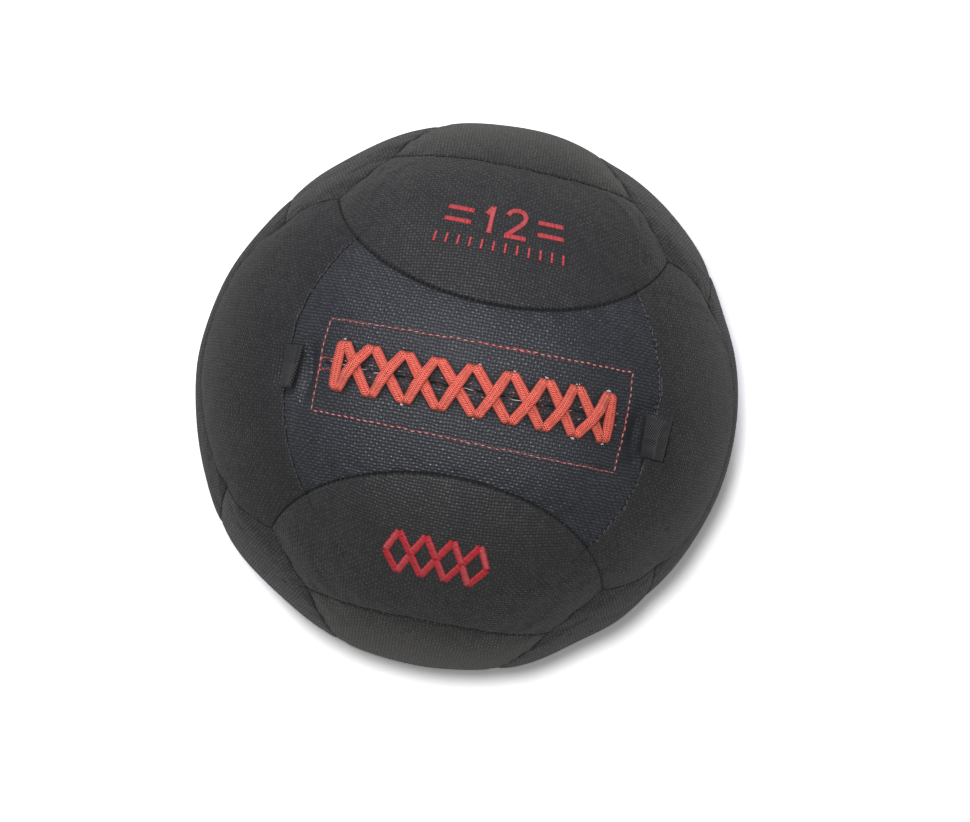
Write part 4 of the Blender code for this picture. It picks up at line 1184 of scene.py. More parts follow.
@dataclass
class Cover:
    """The eighteen cover panels."""

    form: CoverForm
    # Points along and across each kind of panel: the three that fill the view have more
    main_steps: tuple[int, int] = (288, 104)
    lens_steps: tuple[int, int] = (352, 48)
    face_steps: tuple[int, int] = (96, 64)
    edge_steps: tuple[int, int] = (128, 40)
    cloth_steps: tuple[int, int] = (48, 24)
    names: dict = field(default_factory=lambda: {
        ("z", 1): "laced_panel", ("z", -1): "base_panel", ("y", 1): "north_face_panel",
        ("y", -1): "south_face_panel", ("x", 1): "east_face_panel", ("x", -1): "west_face_panel",
        ("z", 1, 1): "upper_north_panel", ("z", 1, -1): "upper_south_panel",
        ("z", -1, 1): "lower_north_panel", ("z", -1, -1): "lower_south_panel",
        ("y", 1, 1): "side_north_east_panel", ("y", 1, -1): "side_north_west_panel",
        ("y", -1, 1): "side_south_east_panel", ("y", -1, -1): "side_south_west_panel",
        ("x", 1, 1): "upper_east_panel", ("x", 1, -1): "lower_east_panel",
        ("x", -1, 1): "upper_west_panel", ("x", -1, -1): "lower_west_panel"})

    @staticmethod
    def graded(steps: int) -> Array:
        """Return places from -1 to 1 that crowd towards both ends, one more than the steps."""
        even = np.linspace(-1.0, 1.0, steps + 1)
        return 0.35 * even + 0.65 * np.sin(even * math.pi / 2)

    def grid(self, key: tuple, steps: tuple[int, int]) -> Array:
        """Return a panel's grid of directions."""
        return self.face_grid(*key, steps) if len(key) == 2 else self.edge_grid(*key, steps)

    def face_grid(self, key: str, sign: int, steps: tuple[int, int]) -> Array:
        """Blend a face panel's grid between its four seams.

        Args:
            key: the face's axis.
            sign: 1 or -1, for the face on that side.
            steps: how many steps along and across.

        Returns:
            The grid of directions.
        """
        pattern = self.form.pattern
        corner_along, corner_across = pattern.corner
        s, t = self.graded(steps[0]), self.graded(steps[1])
        along, across = corner_along * s, corner_across * t
        u, v = np.meshgrid((s + 1) / 2, (t + 1) / 2)
        low = np.stack([along, -pattern.long_seam(along)], axis=-1)[None]
        high = np.stack([along, pattern.long_seam(along)], axis=-1)[None]
        left = np.stack([-pattern.end_seam(across), across], axis=-1)[:, None]
        right = np.stack([pattern.end_seam(across), across], axis=-1)[:, None]
        u, v = u[..., None], v[..., None]
        corners = (1 - u) * (1 - v) * low[:, :1] + u * (1 - v) * low[:, -1:]
        corners = corners + (1 - u) * v * high[:, :1] + u * v * high[:, -1:]
        flat = (1 - v) * low + v * high + (1 - u) * left + u * right - corners
        return pattern.on_face(key, sign, flat[..., 0], flat[..., 1])

    def edge_grid(self, key: str, sign: int, side: int, steps: tuple[int, int]) -> Array:
        """Lay an edge panel's grid from one face's long seam to the next face's end seam.

        Args:
            key: the first face's axis.
            sign: 1 or -1, for the face on that side.
            side: 1 or -1, for its long seam on that side.
            steps: how many steps along and across.

        Returns:
            The grid of directions.
        """
        pattern = self.form.pattern
        corner_along, corner_across = pattern.corner
        tips = steps[0] // 8
        even = self.graded(steps[0] - 2 * tips)
        tip = corner_along + (1 - corner_along) * np.sin(np.linspace(0, math.pi / 2, tips + 1))[1:]
        along = np.concatenate([-tip[::-1], corner_along * even, tip])
        lower = pattern.on_face(key, sign, along, side * pattern.long_seam(along))
        across = corner_across * even
        reach = np.concatenate([tip[::-1], pattern.end_seam(across), tip])
        spread = np.concatenate([-pattern.long_seam(tip)[::-1], across, pattern.long_seam(tip)])
        normal, long_axis, short_axis = FACE_AXES[key]
        flat = side * short_axis + sign * reach[:, None] * normal + spread[:, None] * long_axis
        shares = ((self.graded(steps[1]) + 1) / 2)[:, None, None]
        return unit((1 - shares) * lower[None] + shares * unit(flat)[None])

    def steps_for(self, key: tuple) -> tuple[int, int]:
        """Return how many points a panel gets.

        Args:
            key: The panel's name in the pattern.

        Returns:
            The points along and across it.
        """
        if key == ("z", 1):
            return self.main_steps
        if key in (("z", 1, 1), ("z", 1, -1)):
            return self.lens_steps
        return self.face_steps if len(key) == 2 else self.edge_steps

    def outward(self, grid: Array) -> bool:
        """Return whether a grid's faces look outward."""
        first, second, third = grid[0, 0], grid[grid.shape[0] // 2, 0], grid[0, grid.shape[1] // 2]
        return float(np.dot(np.cross(third - first, second - first), first)) > 0

    def build(self) -> tuple[dict[str, Piece], CoverSurface]:
        """Build every panel.

        Returns:
            CAD node name to the panel that stands for it, and the finder of places on them.
        """
        coarse = []
        for key in self.names:
            grid = self.grid(key, self.cloth_steps)
            grid = grid if self.outward(grid) else grid[:, ::-1]
            coarse.append(self.form.centre + grid * (self.form.radius - self.form.crown_rise))
        shifts = ClothRun(self.form.centre).shifts(coarse)
        panels, outers = {}, []
        for (key, name), shift in zip(self.names.items(), shifts):
            grid = self.grid(key, self.steps_for(key))
            grid = grid if self.outward(grid) else grid[:, ::-1]
            long_axis = FACE_AXES[key[0]][1]
            middle = unit(grid[grid.shape[0] // 2, grid.shape[1] // 2])
            axes = (middle, long_axis, unit(np.cross(middle, long_axis)))
            finish = PANEL_FINISHES.get(key, CANVAS)
            panel, outer = Panel(name, grid, axes, self.form, finish).build(shift)
            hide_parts(name)
            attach(panel, "ball")
            panels[name] = panel
            outers.append(outer)
            LOG.info("cover panel %s: %d faces", name, len(panel.data.polygons))
        return panels, CoverSurface.over(self.form, outers)


# Threads and lace


def rounded_section(sides: int, squareness: float) -> Array:
    """Return the points of a round or squarish section, one unit wide and high each way.

    Args:
        sides: how many points.
        squareness: 1 for a round section; less fills its corners.

    Returns:
        The points, across and up.
    """
    turns = np.arange(sides) * 2 * math.pi / sides
    across = np.sign(np.cos(turns)) * np.abs(np.cos(turns)) ** squareness
    above = np.sign(np.sin(turns)) * np.abs(np.sin(turns)) ** squareness
    return np.stack([across, above], axis=-1)


def tube(name: str, centre: Array, side: Array, half_width: Array, half_height: Array,
         finish: Finish, section: Array) -> Piece:
    """Build a closed tube along a line.

    Args:
        name: the piece's name.
        centre: the line's points.
        side: the width direction at each point.
        half_width: half the width at each point.
        half_height: half the height at each point.
        finish: the finish.
        section: the section's points, one unit wide and high each way.

    Returns:
        The tube.
    """
    along = unit(np.gradient(centre, axis=0))
    side = unit(side - np.einsum("ij,ij->i", side, along)[:, None] * along)
    upward = np.cross(along, side)
    rings = (centre[:, None] + side[:, None] * (half_width[:, None] * section[None, :, 0])[..., None]
             + upward[:, None] * (half_height[:, None] * section[None, :, 1])[..., None])
    run = run_along(centre)
    count, sides = len(centre), len(section)
    faces = grid_quads(count, sides, wrap=True)
    faces.append(list(range(sides))[::-1])
    faces.append([(count - 1) * sides + k for k in range(sides)])
    middle = rings[count // 2]
    girth = np.linalg.norm(np.diff(middle, axis=0, append=middle[:1]), axis=1)
    place = np.concatenate([[0.0], np.cumsum(girth)[:-1]])
    around = np.minimum(place, girth.sum() - place)
    uv = np.stack([np.repeat(run[:, None], sides, 1), np.repeat(around[None], count, 0)], axis=-1)
    piece = mesh_object(name, rings.reshape(-1, 3), faces, finish, {"Grain": uv.reshape(-1, 2)})
    tidy(piece, TINY)
    return piece


def join(name: str, pieces: list[Piece]) -> Piece:
    """Join mesh objects of one finish into one piece.

    Args:
        name: the piece's name.
        pieces: the objects, which are removed.

    Returns:
        The piece.
    """
    work = bmesh.new()
    for piece in pieces:
        work.from_mesh(piece.data)
    mesh = pieces[0].data.copy()
    work.to_mesh(mesh)
    work.free()
    joined = add_object(name, mesh)
    mesh.name = name
    for piece in pieces:
        old = piece.data
        bpy.data.objects.remove(piece)
        bpy.data.meshes.remove(old)
    return joined


@dataclass
class StitchRow:
    """A row of stitches along a line of directions on the cover."""

    name: str
    line: Array
    surface: CoverSurface
    finish: Finish
    pitch: float
    shown: float
    thickness: float
    wander: float
    lift: float = 0.0
    sides: int = 6
    rings: int = 7

    def build(self) -> None:
        """Build one short arched thread for each stitch, each end dipping into the cloth."""
        run = run_along(self.line) * self.surface.radius
        count = max(int(round(run[-1] / self.pitch)), 1)
        pitch = run[-1] / count
        source = np.random.default_rng(len(self.line) + count)
        section = rounded_section(self.sides, 1.0)
        share = np.linspace(0.0, 1.0, self.rings)
        arch = np.sin(share * math.pi) ** 0.5
        pieces = []
        for number in range(count):
            start = number * pitch + source.uniform(-0.3, 0.3) * self.wander
            long = self.shown * pitch / self.pitch * source.uniform(0.9, 1.06)
            place = start + share * long
            directions = unit(np.stack([np.interp(place, run, self.line[:, axis]) for axis in range(3)], axis=-1))
            beside = unit(np.cross(directions[0], directions[-1]))
            slant = (source.normal() + source.normal() * (share - 0.5)) * self.wander / self.surface.radius
            directions = unit(directions + beside * slant[:, None])
            fat = self.thickness * source.uniform(0.88, 1.1)
            centre = self.surface.at(directions, fat * (arch * 0.8 - 0.5) + self.lift)
            half = fat / 2 * (0.55 + 0.45 * arch)
            side = np.tile(beside, (self.rings, 1))
            pieces.append(tube(self.name, centre, side, half, half * 0.85, self.finish, section))
        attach(join(self.name, pieces), "ball")


@dataclass
class Lacing:
    """The closure: slit, holes, there-and-back lace, box stitching and the strips below."""

    surface: CoverSurface
    pairs: int = 9
    pitch: float = 19.4 * MM
    row_spacing: float = 26.2 * MM
    width: float = 6.5 * MM
    thickness: float = 3.3 * MM
    mouth_width: float = 5.4 * MM
    squeezed: float = 3.5 * MM
    bend: float = 2.7 * MM
    surface_gap: float = 0.1 * MM
    self_gap: float = 0.25 * MM
    pass_spacing: float = 2.8 * MM
    hole_width: float = 3.9 * MM
    hole_length: float = 7.8 * MM
    hole_middle: float = 12.95 * MM
    slit_half: float = 89 * MM
    slit_width: float = 0.3 * MM
    slit_sway: float = 0.25 * MM
    cut_heights: tuple[float, float] = (3 * MM, -4 * MM)
    # The strips' half-length, both edges' places across the slit, depth below the cover and thickness
    backing: tuple = (93.5 * MM, 1.5 * MM, 27 * MM, 2.6 * MM, 0.8 * MM)
    tongue: tuple = (93 * MM, -22 * MM, 22 * MM, 12.5 * MM, 1.3 * MM)
    strip_steps: tuple[int, int] = (90, 16)
    run_depths: tuple[float, float] = (5.8 * MM, 10.0 * MM)
    # Where the tails end in the knot: how far from the middle line, and how far past the first pair's lace
    tail_spacing: float = 2.15 * MM
    tail_end: float = 1.9 * MM
    # The holes were punched by hand: how far each lies from its even place, along the slit
    upper_shifts: tuple = (-0.5, -2.2, -1.9, -3.0, -2.5, -0.6, 0.8, -0.4, 1.6)
    lower_shifts: tuple = (-1.0, 0.9, 1.8, 2.1, 3.4, 3.3, 3.3, 3.1, 2.3)
    # Places in millimetres from the middle of the slit: the box's corners, its end tacks and the rows beside the slit
    box: tuple = ((-92.0, 25.6), (94.3, 28.6), (94.0, -30.0), (-93.6, -27.6))
    tacks: tuple = (((-92.6, 4.0), (-92.8, -8.5)), ((-92.0, 3.0), (-92.4, -6.0)), ((-3.0, 27.2), (30.0, 27.4)),
                    ((8.0, 26.9), (31.0, 27.7)), ((94.2, 8.0), (94.1, -9.0)), ((-91.0, 3.2), (-84.0, 2.8)),
                    ((-91.0, -3.6), (-83.0, -3.2)))
    row_ends: tuple[float, float] = (-92.5, 94.2)
    # Each row's distance from the slit, and how far its stitches wander
    rows: tuple = ((3.3, 0.4 * MM), (-3.4, 0.5 * MM))
    # Loose threads at holes: pair, side, how many, and how far along the slit from the hole's middle
    tufts: tuple = ((0, 1, 2, -1.0), (4, 1, 3, 2.5), (5, 1, 2, 1.5), (6, 1, 6, -0.5), (7, 1, 2, 0.5), (8, 1, 7, -0.5),
                    (2, -1, 6, -1.5), (4, -1, 2, -1.0), (7, -1, 7, -0.5), (8, -1, 3, 0.5))
    # Loose threads along the slit: from, to, and how far across it
    wisps: tuple = ((-86, -82, 1.5), (-80, -75, 1.0), (-72, -62, 0.4), (-58, -53, -0.5), (-6, 0, 0.4),
                    (21, 34, -0.5), (50, 58, -0.3), (66, 69, 1.0))
    tuft_place: float = 14.7

    def hole_x(self, pair: int, side: int) -> float:
        """Return where a hole lies along the slit.

        Args:
            pair: the hole's pair, counted from the left.
            side: 1 above the slit, -1 below it.

        Returns:
            The arc length from the slit's middle.
        """
        shifts = self.upper_shifts if side > 0 else self.lower_shifts
        return (pair - (self.pairs - 1) / 2) * self.pitch + shifts[pair] * MM

    def hole_pass(self, pair: int, side: int, hand: int) -> Array:
        """Return one of the two passes through a hole, the right one where hand is 1."""
        return np.array([self.hole_x(pair, side) + hand * self.pass_spacing / 2, side * self.row_spacing / 2])

    def stretch(self, start: Array, end: Array, level: float, lift: float = 0.0) -> list[tuple]:
        """Return the knots of one stretch of lace, out of a hole, across and into the next.

        Args:
            start: the first pass, along and across the slit.
            end: the second pass.
            level: height over the cover of the stretch, negative under it.
            lift: how much higher it rides over another strand at its middle.

        Returns:
            Tuples of x, y, height, width, thickness and the width direction's x and y.
        """
        rise = 1 if level > 0 else -1
        heading = unit(end - start)
        length = float(np.linalg.norm(end - start))
        stations = [(self.bend * (1 - math.cos(a)), level - rise * self.bend * (1 - math.sin(a)), math.sin(a))
                    for a in np.linspace(0, math.pi / 2, 6)[:-1]]
        for along in np.linspace(self.bend, length / 2, 8):
            share = np.clip((along - self.bend) / (length / 2 - self.bend - self.width * 0.5), 0, 1)
            ease = share * share * (3 - 2 * share)
            stations.append((along, level + lift * ease, 1.0 + 0.6 * share))
        stations += [(length - along, height, share) for along, height, share in stations[-2::-1]]
        side = np.array([heading[1], -heading[0]])
        side = side * (1 if side[0] > 0 else -1)
        knots = []
        for along, height, share in stations:
            place = start + heading * along
            turned = min(share, 1.0) ** 0.6
            facing = unit(turned * side + (1 - turned) * np.array([1.0, 0.0]))
            wide = self.mouth_width + (self.width - self.mouth_width) * (share / 1.6) ** 1.2
            width, thick = (wide, self.thickness) if rise > 0 else (self.squeezed, self.squeezed)
            knots.append((*place, height, width, thick, *facing))
        return knots

    def tail(self, side: int, hand: int) -> list[tuple]:
        """Return a tail of the lace, from its pass through the first hole to the knot.

        Args:
            side: 1 above the slit, -1 below it.
            hand: 1 for the right pass, -1 for the left one.

        Returns:
            Knots, as a stretch has them.
        """
        first = self.hole_pass(0, side, hand)
        depth = -self.run_depths[0]
        knots = [(first[0], first[1] - side * self.bend * (1 - math.cos(a)), depth + self.bend * (1 - math.sin(a)),
                  self.squeezed, self.squeezed, 1.0, 0.0) for a in np.linspace(0, math.pi / 2, 6)]
        half_row = self.pitch * (self.pairs - 1) / 2
        end = np.array([-half_row + self.tail_spacing + self.squeezed / 2 + self.tail_end, side * self.tail_spacing])
        bend_at = np.array([first[0], end[1]])
        start = np.array([first[0], first[1] - side * self.bend])
        for share in np.linspace(0, 1, 9)[1:]:
            place = (1 - share) ** 2 * start + 2 * share * (1 - share) * bend_at + share ** 2 * end
            slope = unit((1 - share) * (bend_at - start) + share * (end - bend_at))
            knots.append((*place, depth, self.squeezed, self.squeezed, -side * slope[1], side * slope[0]))
        return knots

    def route(self) -> Array:
        """Return the whole lace, knot to knot: there in one slant, and back over it in the other."""
        top = self.surface_gap + self.thickness / 2
        over = self.thickness * 0.9 + self.self_gap
        near, far = (-depth for depth in self.run_depths)
        last = self.pairs - 1
        knots = self.tail(1, 1)[::-1]
        for pair in range(last):
            knots += self.stretch(self.hole_pass(pair, 1, 1), self.hole_pass(pair + 1, -1, -1), top)
            knots += self.stretch(self.hole_pass(pair + 1, -1, -1), self.hole_pass(pair + 1, 1, 1), near)
        knots += self.stretch(self.hole_pass(last, 1, 1), self.hole_pass(last, -1, 1), top)
        knots += self.stretch(self.hole_pass(last, -1, 1), self.hole_pass(last, 1, -1), far)
        for pair in range(last, 0, -1):
            knots += self.stretch(self.hole_pass(pair, 1, -1), self.hole_pass(pair - 1, -1, 1), top, over)
            knots += self.stretch(self.hole_pass(pair - 1, -1, 1), self.hole_pass(pair - 1, 1, -1), far)
        knots += self.stretch(self.hole_pass(0, 1, -1), self.hole_pass(0, -1, -1), top)
        knots += self.tail(-1, -1)
        return np.array(knots)

    def build_lace(self) -> None:
        """Build the braided lace along its real route."""
        route = self.route()
        keep = np.concatenate([[True], np.linalg.norm(np.diff(route[:, :3], axis=0), axis=1) > 0.05 * MM])
        route = route[keep]
        outward = self.surface.direction(route[:, 0], route[:, 1])
        cover = np.linalg.norm(self.surface.at(outward, 0.0) - self.surface.centre, axis=1)
        # The lace bridges the slit's dip and the cloth's small lumps, so it follows the cover smoothed out
        padded = np.pad(cover, 12, mode="edge")
        cover = np.array([np.percentile(padded[k:k + 25], 75) for k in range(len(cover))])
        cover = np.convolve(np.pad(cover, 6, mode="edge"), np.full(13, 1 / 13), mode="valid")
        centre = self.surface.centre + outward * (cover + route[:, 2])[:, None]
        step = 0.2 * MM
        beside = self.surface.direction(route[:, 0] + route[:, 5] * step, route[:, 1] + route[:, 6] * step)
        side = unit(beside - outward)
        source = np.random.default_rng(4)
        ease = 1 + 0.03 * np.convolve(source.normal(size=len(route) + 6), np.full(7, 1 / 2.6), mode="valid")
        lace = tube("braided_lace", centre, side, route[:, 3] / 2 * ease, route[:, 4] / 2, CORD,
                    rounded_section(16, 0.74))
        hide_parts("lace")
        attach(lace, "ball")
        LOG.info("lace: %.3f m long, %d rings", run_along(centre)[-1], len(centre))

    def cutters(self) -> Piece:
        """Build the prisms that open the holes and the slit.

        Returns:
            One object with all of them.
        """
        outlines = []
        turn = np.linspace(0, 2 * math.pi, 20, endpoint=False)
        straight = (self.hole_length - self.hole_width) / 2
        for pair in range(self.pairs):
            for side in (1, -1):
                x = self.hole_x(pair, side) + np.sign(np.cos(turn)) * straight + self.hole_width / 2 * np.cos(turn)
                outlines.append(np.stack([x, side * self.hole_middle + self.hole_width / 2 * np.sin(turn)], axis=-1))
        ends = np.linspace(-self.slit_half, self.slit_half, 60)
        sway = smooth_noise(np.stack([ends, 0 * ends, 0 * ends], axis=-1), 12 * MM, 9) * self.slit_sway
        upper = np.stack([ends, sway + self.slit_width / 2], axis=-1)
        lower = np.stack([ends, sway - self.slit_width / 2], axis=-1)
        outlines.append(np.concatenate([lower, upper[::-1]]))
        points, faces = [], []
        for outline in outlines:
            start, count = len(points), len(outline)
            directions = self.surface.direction(outline[:, 0], outline[:, 1])
            for height in self.cut_heights:
                points += list(self.surface.centre + directions * (self.surface.radius + height))
            top = list(range(start, start + count))
            faces.append(top)
            faces.append([n + count for n in top[::-1]])
            faces += rim_quads(top, count)
        return mesh_object("closure_cutter", np.array(points), faces, COATED)

    def open_pieces(self, pieces: list[Piece]) -> None:
        """Cut the holes and the slit through the laced panel, and the holes through its backing.

        Args:
            pieces: the panel and its backing.
        """
        cutter = self.cutters()
        tidy(cutter, TINY)
        for piece in pieces:
            boolean = piece.modifiers.new("openings", "BOOLEAN")
            boolean.operation, boolean.solver, boolean.object = "DIFFERENCE", "EXACT", cutter
            evaluated = piece.evaluated_get(bpy.context.evaluated_depsgraph_get())
            opened = bpy.data.meshes.new_from_object(evaluated)
            piece.modifiers.clear()
            piece.data = opened
        bpy.data.objects.remove(cutter)

    def strip(self, name: str, sizes: tuple, finish: Finish, node: str) -> Piece:
        """Build one strip of cloth below the cover that follows its curve.

        Args:
            name: the piece's name.
            sizes: its half-length, its two edges' places across the slit, its depth and its thickness.
            finish: its finish.
            node: the CAD node that it stands for.

        Returns:
            The strip.
        """
        half, low, high, depth, thickness = sizes
        steps_along, steps_across = self.strip_steps
        grid_x, grid_y = np.meshgrid(np.linspace(-half, half, steps_along), np.linspace(low, high, steps_across))
        outward = self.surface.direction(grid_x, grid_y)
        ripple = smooth_noise(outward * self.surface.radius, 9 * MM, 11) * 0.1 * MM
        layers = [self.surface.centre + outward * (self.surface.radius - level + ripple)[..., None]
                  for level in (depth, depth + thickness)]
        points = np.concatenate([layer.reshape(-1, 3) for layer in layers])
        piece = mesh_object(name, points, sheet_faces(*grid_x.shape), finish)
        tidy(piece, TINY)
        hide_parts(node)
        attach(piece, "ball")
        return piece

    def build_strips(self) -> list[Piece]:
        """Build the tongue, and the white backing on each side of the slit.

        Returns:
            The two backing strips.
        """
        half, near, far, depth, thickness = self.backing
        backing = []
        for node, low, high in (("north_backing", near, far), ("south_backing", -far, -near)):
            sizes = (half, low, high, depth, thickness)
            backing.append(self.strip(node + "_cloth", sizes, BACKING_CLOTH, node))
        self.strip("tongue_cloth", self.tongue, TONGUE_CLOTH, "closure_tongue")
        return backing

    def line(self, start: tuple, end: tuple, points: int = 40) -> Array:
        """Return directions along a line on the laced panel.

        Args:
            start: where it starts, in millimetres from the middle of the slit.
            end: where it ends.
            points: how many directions.

        Returns:
            Unit directions.
        """
        places = np.linspace(start, end, points) * MM
        return self.surface.direction(places[:, 0], places[:, 1])

    def build_stitching(self) -> None:
        """Sew the red box round the slit, the rows beside it and its end tacks."""
        for number, (start, end) in enumerate(zip(self.box, self.box[1:] + self.box[:1])):
            line = self.line(start, end)
            StitchRow(f"box_stitching_{number}", line, self.surface, RED_THREAD, pitch=4.0 * MM, shown=3.4 * MM,
                      thickness=0.72 * MM, wander=0.16 * MM, lift=0.06 * MM).build()
            # Painted shade: a wide dark red thread sunk into the cloth under the stitches shows dark along their sides
            StitchRow(f"box_under_thread_{number}", line, self.surface, DARK_THREAD, pitch=4.0 * MM, shown=4.6 * MM,
                      thickness=2.1 * MM, wander=0.2 * MM, lift=-0.84 * MM).build()
        left, right = self.row_ends
        for number, (y, wander) in enumerate(self.rows):
            line = self.line((left, y), (right, y))
            StitchRow(f"slit_stitching_{number}", line, self.surface, DARK_THREAD, pitch=4.0 * MM, shown=3.4 * MM,
                      thickness=0.5 * MM, wander=wander).build()
            StitchRow(f"slit_dots_{number}", line, self.surface, RED_THREAD, pitch=8.0 * MM, shown=1.6 * MM,
                      thickness=0.45 * MM, wander=wander, lift=0.1 * MM).build()
        for number, (start, end) in enumerate(self.tacks):
            StitchRow(f"back_tack_{number}", self.line(start, end, 20), self.surface, BRIGHT_THREAD, pitch=2.6 * MM,
                      shown=2.4 * MM, thickness=0.62 * MM, wander=0.25 * MM).build()

    def fray(self, places: Array, height: float, width: float) -> Piece:
        """Build one loose white thread.

        Args:
            places: the places it runs through, in millimetres from the middle of the slit.
            height: how high its middle arches over the cover.
            width: its thickness at its middle.

        Returns:
            The thread.
        """
        share = np.linspace(0, 1, len(places))
        directions = self.surface.direction(places[:, 0] * MM, places[:, 1] * MM)
        centre = self.surface.at(directions, np.sin(share * math.pi) * height)
        half = width / 2 * np.sin(0.35 + share * 2.4)
        return tube("fray", centre, np.tile(Y_AXIS, (len(places), 1)), half, half, WHITE_THREAD,
                    rounded_section(6, 1.0))

    def build_frays(self) -> None:
        """Lay the loose white threads of the lining that stick out at the slit and at some holes."""
        source = np.random.default_rng(21)
        pieces = []
        for pair, side, count, offset in self.tufts:
            for _ in range(count):
                x = self.hole_x(pair, side) / MM + offset + source.uniform(-0.8, 0.8)
                y = side * self.tuft_place
                reach, spread = source.uniform(0.5, 1.3), source.uniform(-1.2, 1.2)
                share = np.linspace(0, 1, 6)
                places = np.stack([x + spread * share, y + side * reach * share], axis=-1)
                pieces.append(self.fray(places, 0.8 * MM, 0.7 * MM))
        for start, end, y in self.wisps:
            x = np.linspace(start, end, 8)
            pieces.append(self.fray(np.stack([x, y + 0.2 * np.sin(x)], axis=-1), 0.3 * MM, 0.5 * MM))
        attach(join("white_frays", pieces), "ball")

    def build(self, panel: Piece) -> None:
        """Build the whole closure on the laced panel.

        Args:
            panel: the laced panel, which is cut open.
        """
        self.open_pieces([panel] + self.build_strips())
        self.build_lace()
        self.build_stitching()
        self.build_frays()
        LOG.info("closure: %d pairs of holes", self.pairs)


@dataclass
class EndStitching:
    """The small stitches along both end seams of the laced panel, their black thread painted grey for its glints."""

    surface: CoverSurface
    pattern: SeamPattern
    # The seam's side, from and to as shares of its half-length, distance outside the seam line, and thickness
    rows: tuple = ((-1, -0.98, -0.30, 0.9 * MM, 0.55 * MM), (-1, 0.14, 0.98, 1.1 * MM, 0.55 * MM),
                   (-1, 0.5, 0.98, -1.2 * MM, 0.4 * MM), (1, -0.98, -0.28, 0.5 * MM, 0.5 * MM),
                   (1, 0.10, 0.98, 0.3 * MM, 0.62 * MM), (1, 0.10, 0.40, 1.9 * MM, 0.4 * MM))
    # How much longer a length on the cube's face is than on the ball, near the seam
    stretch: float = 1.4

    def build(self) -> None:
        """Sew the rows along both seams, leaving out the webbing loops' feet."""
        reach = self.pattern.corner[1]
        for number, (side, low, high, shift, size) in enumerate(self.rows):
            across = np.linspace(low, high, 60) * reach
            end = self.pattern.end_seam(across) + shift / self.surface.radius * self.stretch
            line = self.pattern.on_face("z", 1, side * end, across)
            StitchRow(f"end_stitching_{number}", line, self.surface, DIM_GLINTING_BLACK_THREAD if side < 0 else GLINTING_BLACK_THREAD,
                      pitch=3.7 * MM, shown=2.5 * MM, thickness=size, wander=0.2 * MM).build()
        LOG.info("end seams stitched")


@dataclass
class WebbingLoop:
    """A loop of 25 mm webbing, doubled and sewn into a seam at its foot."""

    name: str
    length: float
    bulge: float
    lean: float
    # How much shorter the loop is at one end of its foot than at the other
    taper: float = 0.0
    # How far its inner face leans over at one end
    twist: float = 0.0
    # How steeply both faces fall away from the crest, which is pinched at one end
    ridge: float = 0.0
    width: float = 25 * MM
    strap: float = 1.5 * MM
    pinch: float = 1.5
    notch_depth: float = 5 * MM
    notch_width: float = 3.2 * MM
    ripple: float = 1.2 * MM
    droop: float = 0.5 * MM

    def build(self, centre: Array) -> None:
        """Build the loop on its hinge.

        Args:
            centre: the ball's centre.
        """
        turn = np.linspace(0.0, math.pi, 40)
        swell = np.sin(turn) * np.sin(turn / 2) ** self.pinch
        out = (self.bulge - self.strap) / 2 * swell / swell.max() + self.strap * 0.52 * np.cos(turn / 2) ** 6
        up = (self.length - self.strap / 2) * (1 - np.cos(turn)) / 2
        path = np.concatenate([np.stack([out, up], axis=-1), np.stack([-out, up], axis=-1)[-2::-1]])
        line = np.stack([path[:, 0], 0 * path[:, 0], path[:, 1]], axis=-1)
        across = np.linspace(-0.975, 0.975, 27)
        thick = 1 + 0.16 * (np.abs(across) > 0.9) - 0.05 * np.cos(across * 9)
        section = np.concatenate([np.stack([across, thick], axis=-1), [(1.0, 0.5), (1.0, -0.5)],
                                  np.stack([across[::-1], -thick], axis=-1), [(-1.0, -0.5), (-1.0, 0.5)]])
        count = len(line)
        strap = tube(self.name + "_strap", line, np.tile(Y_AXIS, (count, 1)), np.full(count, self.width / 2),
                     np.full(count, self.strap / 2 * 0.97), STRAP, section)
        points = np.zeros(len(strap.data.vertices) * 3)
        strap.data.vertices.foreach_get("co", points)
        points = points.reshape(-1, 3)
        height = np.clip(points[:, 2] / self.length, 0, 1)
        place = points[:, 1] / self.width
        inner = np.clip(0.5 - points[:, 0] / self.bulge, 0, 1)
        points[:, 0] -= height * inner * self.twist * (place + 0.17)
        points[:, 2] -= self.ridge * height * (np.abs(points[:, 0]) + self.ripple * np.sin(place * 9) ** 2)
        notch = np.exp(-np.square(points[:, 0] / self.notch_width)) * np.clip((place - 0.22) / 0.28, 0, 1)
        points[:, 2] -= self.ridge * self.notch_depth * height * notch
        points[:, 2] *= 1 - self.taper * (place + 0.5)
        points[:, 2] -= self.droop * height * (2 * place) ** 2
        strap.data.vertices.foreach_set("co", points.ravel())
        joint = next(j for j in frame["record"]["behaviour"]["joints"] if j["child"] == self.name)
        place, seam = Vector(joint["pos_m"]), Vector(joint["axis"]).normalized()
        outward = place - Vector(centre)
        outward = (outward - seam * outward.dot(seam)).normalized()
        hinge = Matrix((seam.cross(outward), seam, outward)).transposed().to_4x4()
        strap.data.transform(Matrix.Translation(place) @ hinge @ Matrix.Rotation(-self.lean, 4, "Y"))
        strap.data.update()
        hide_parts(self.name.replace("loop", "webbing_loop"))
        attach(strap, self.name)
        LOG.info("%s built", self.name)


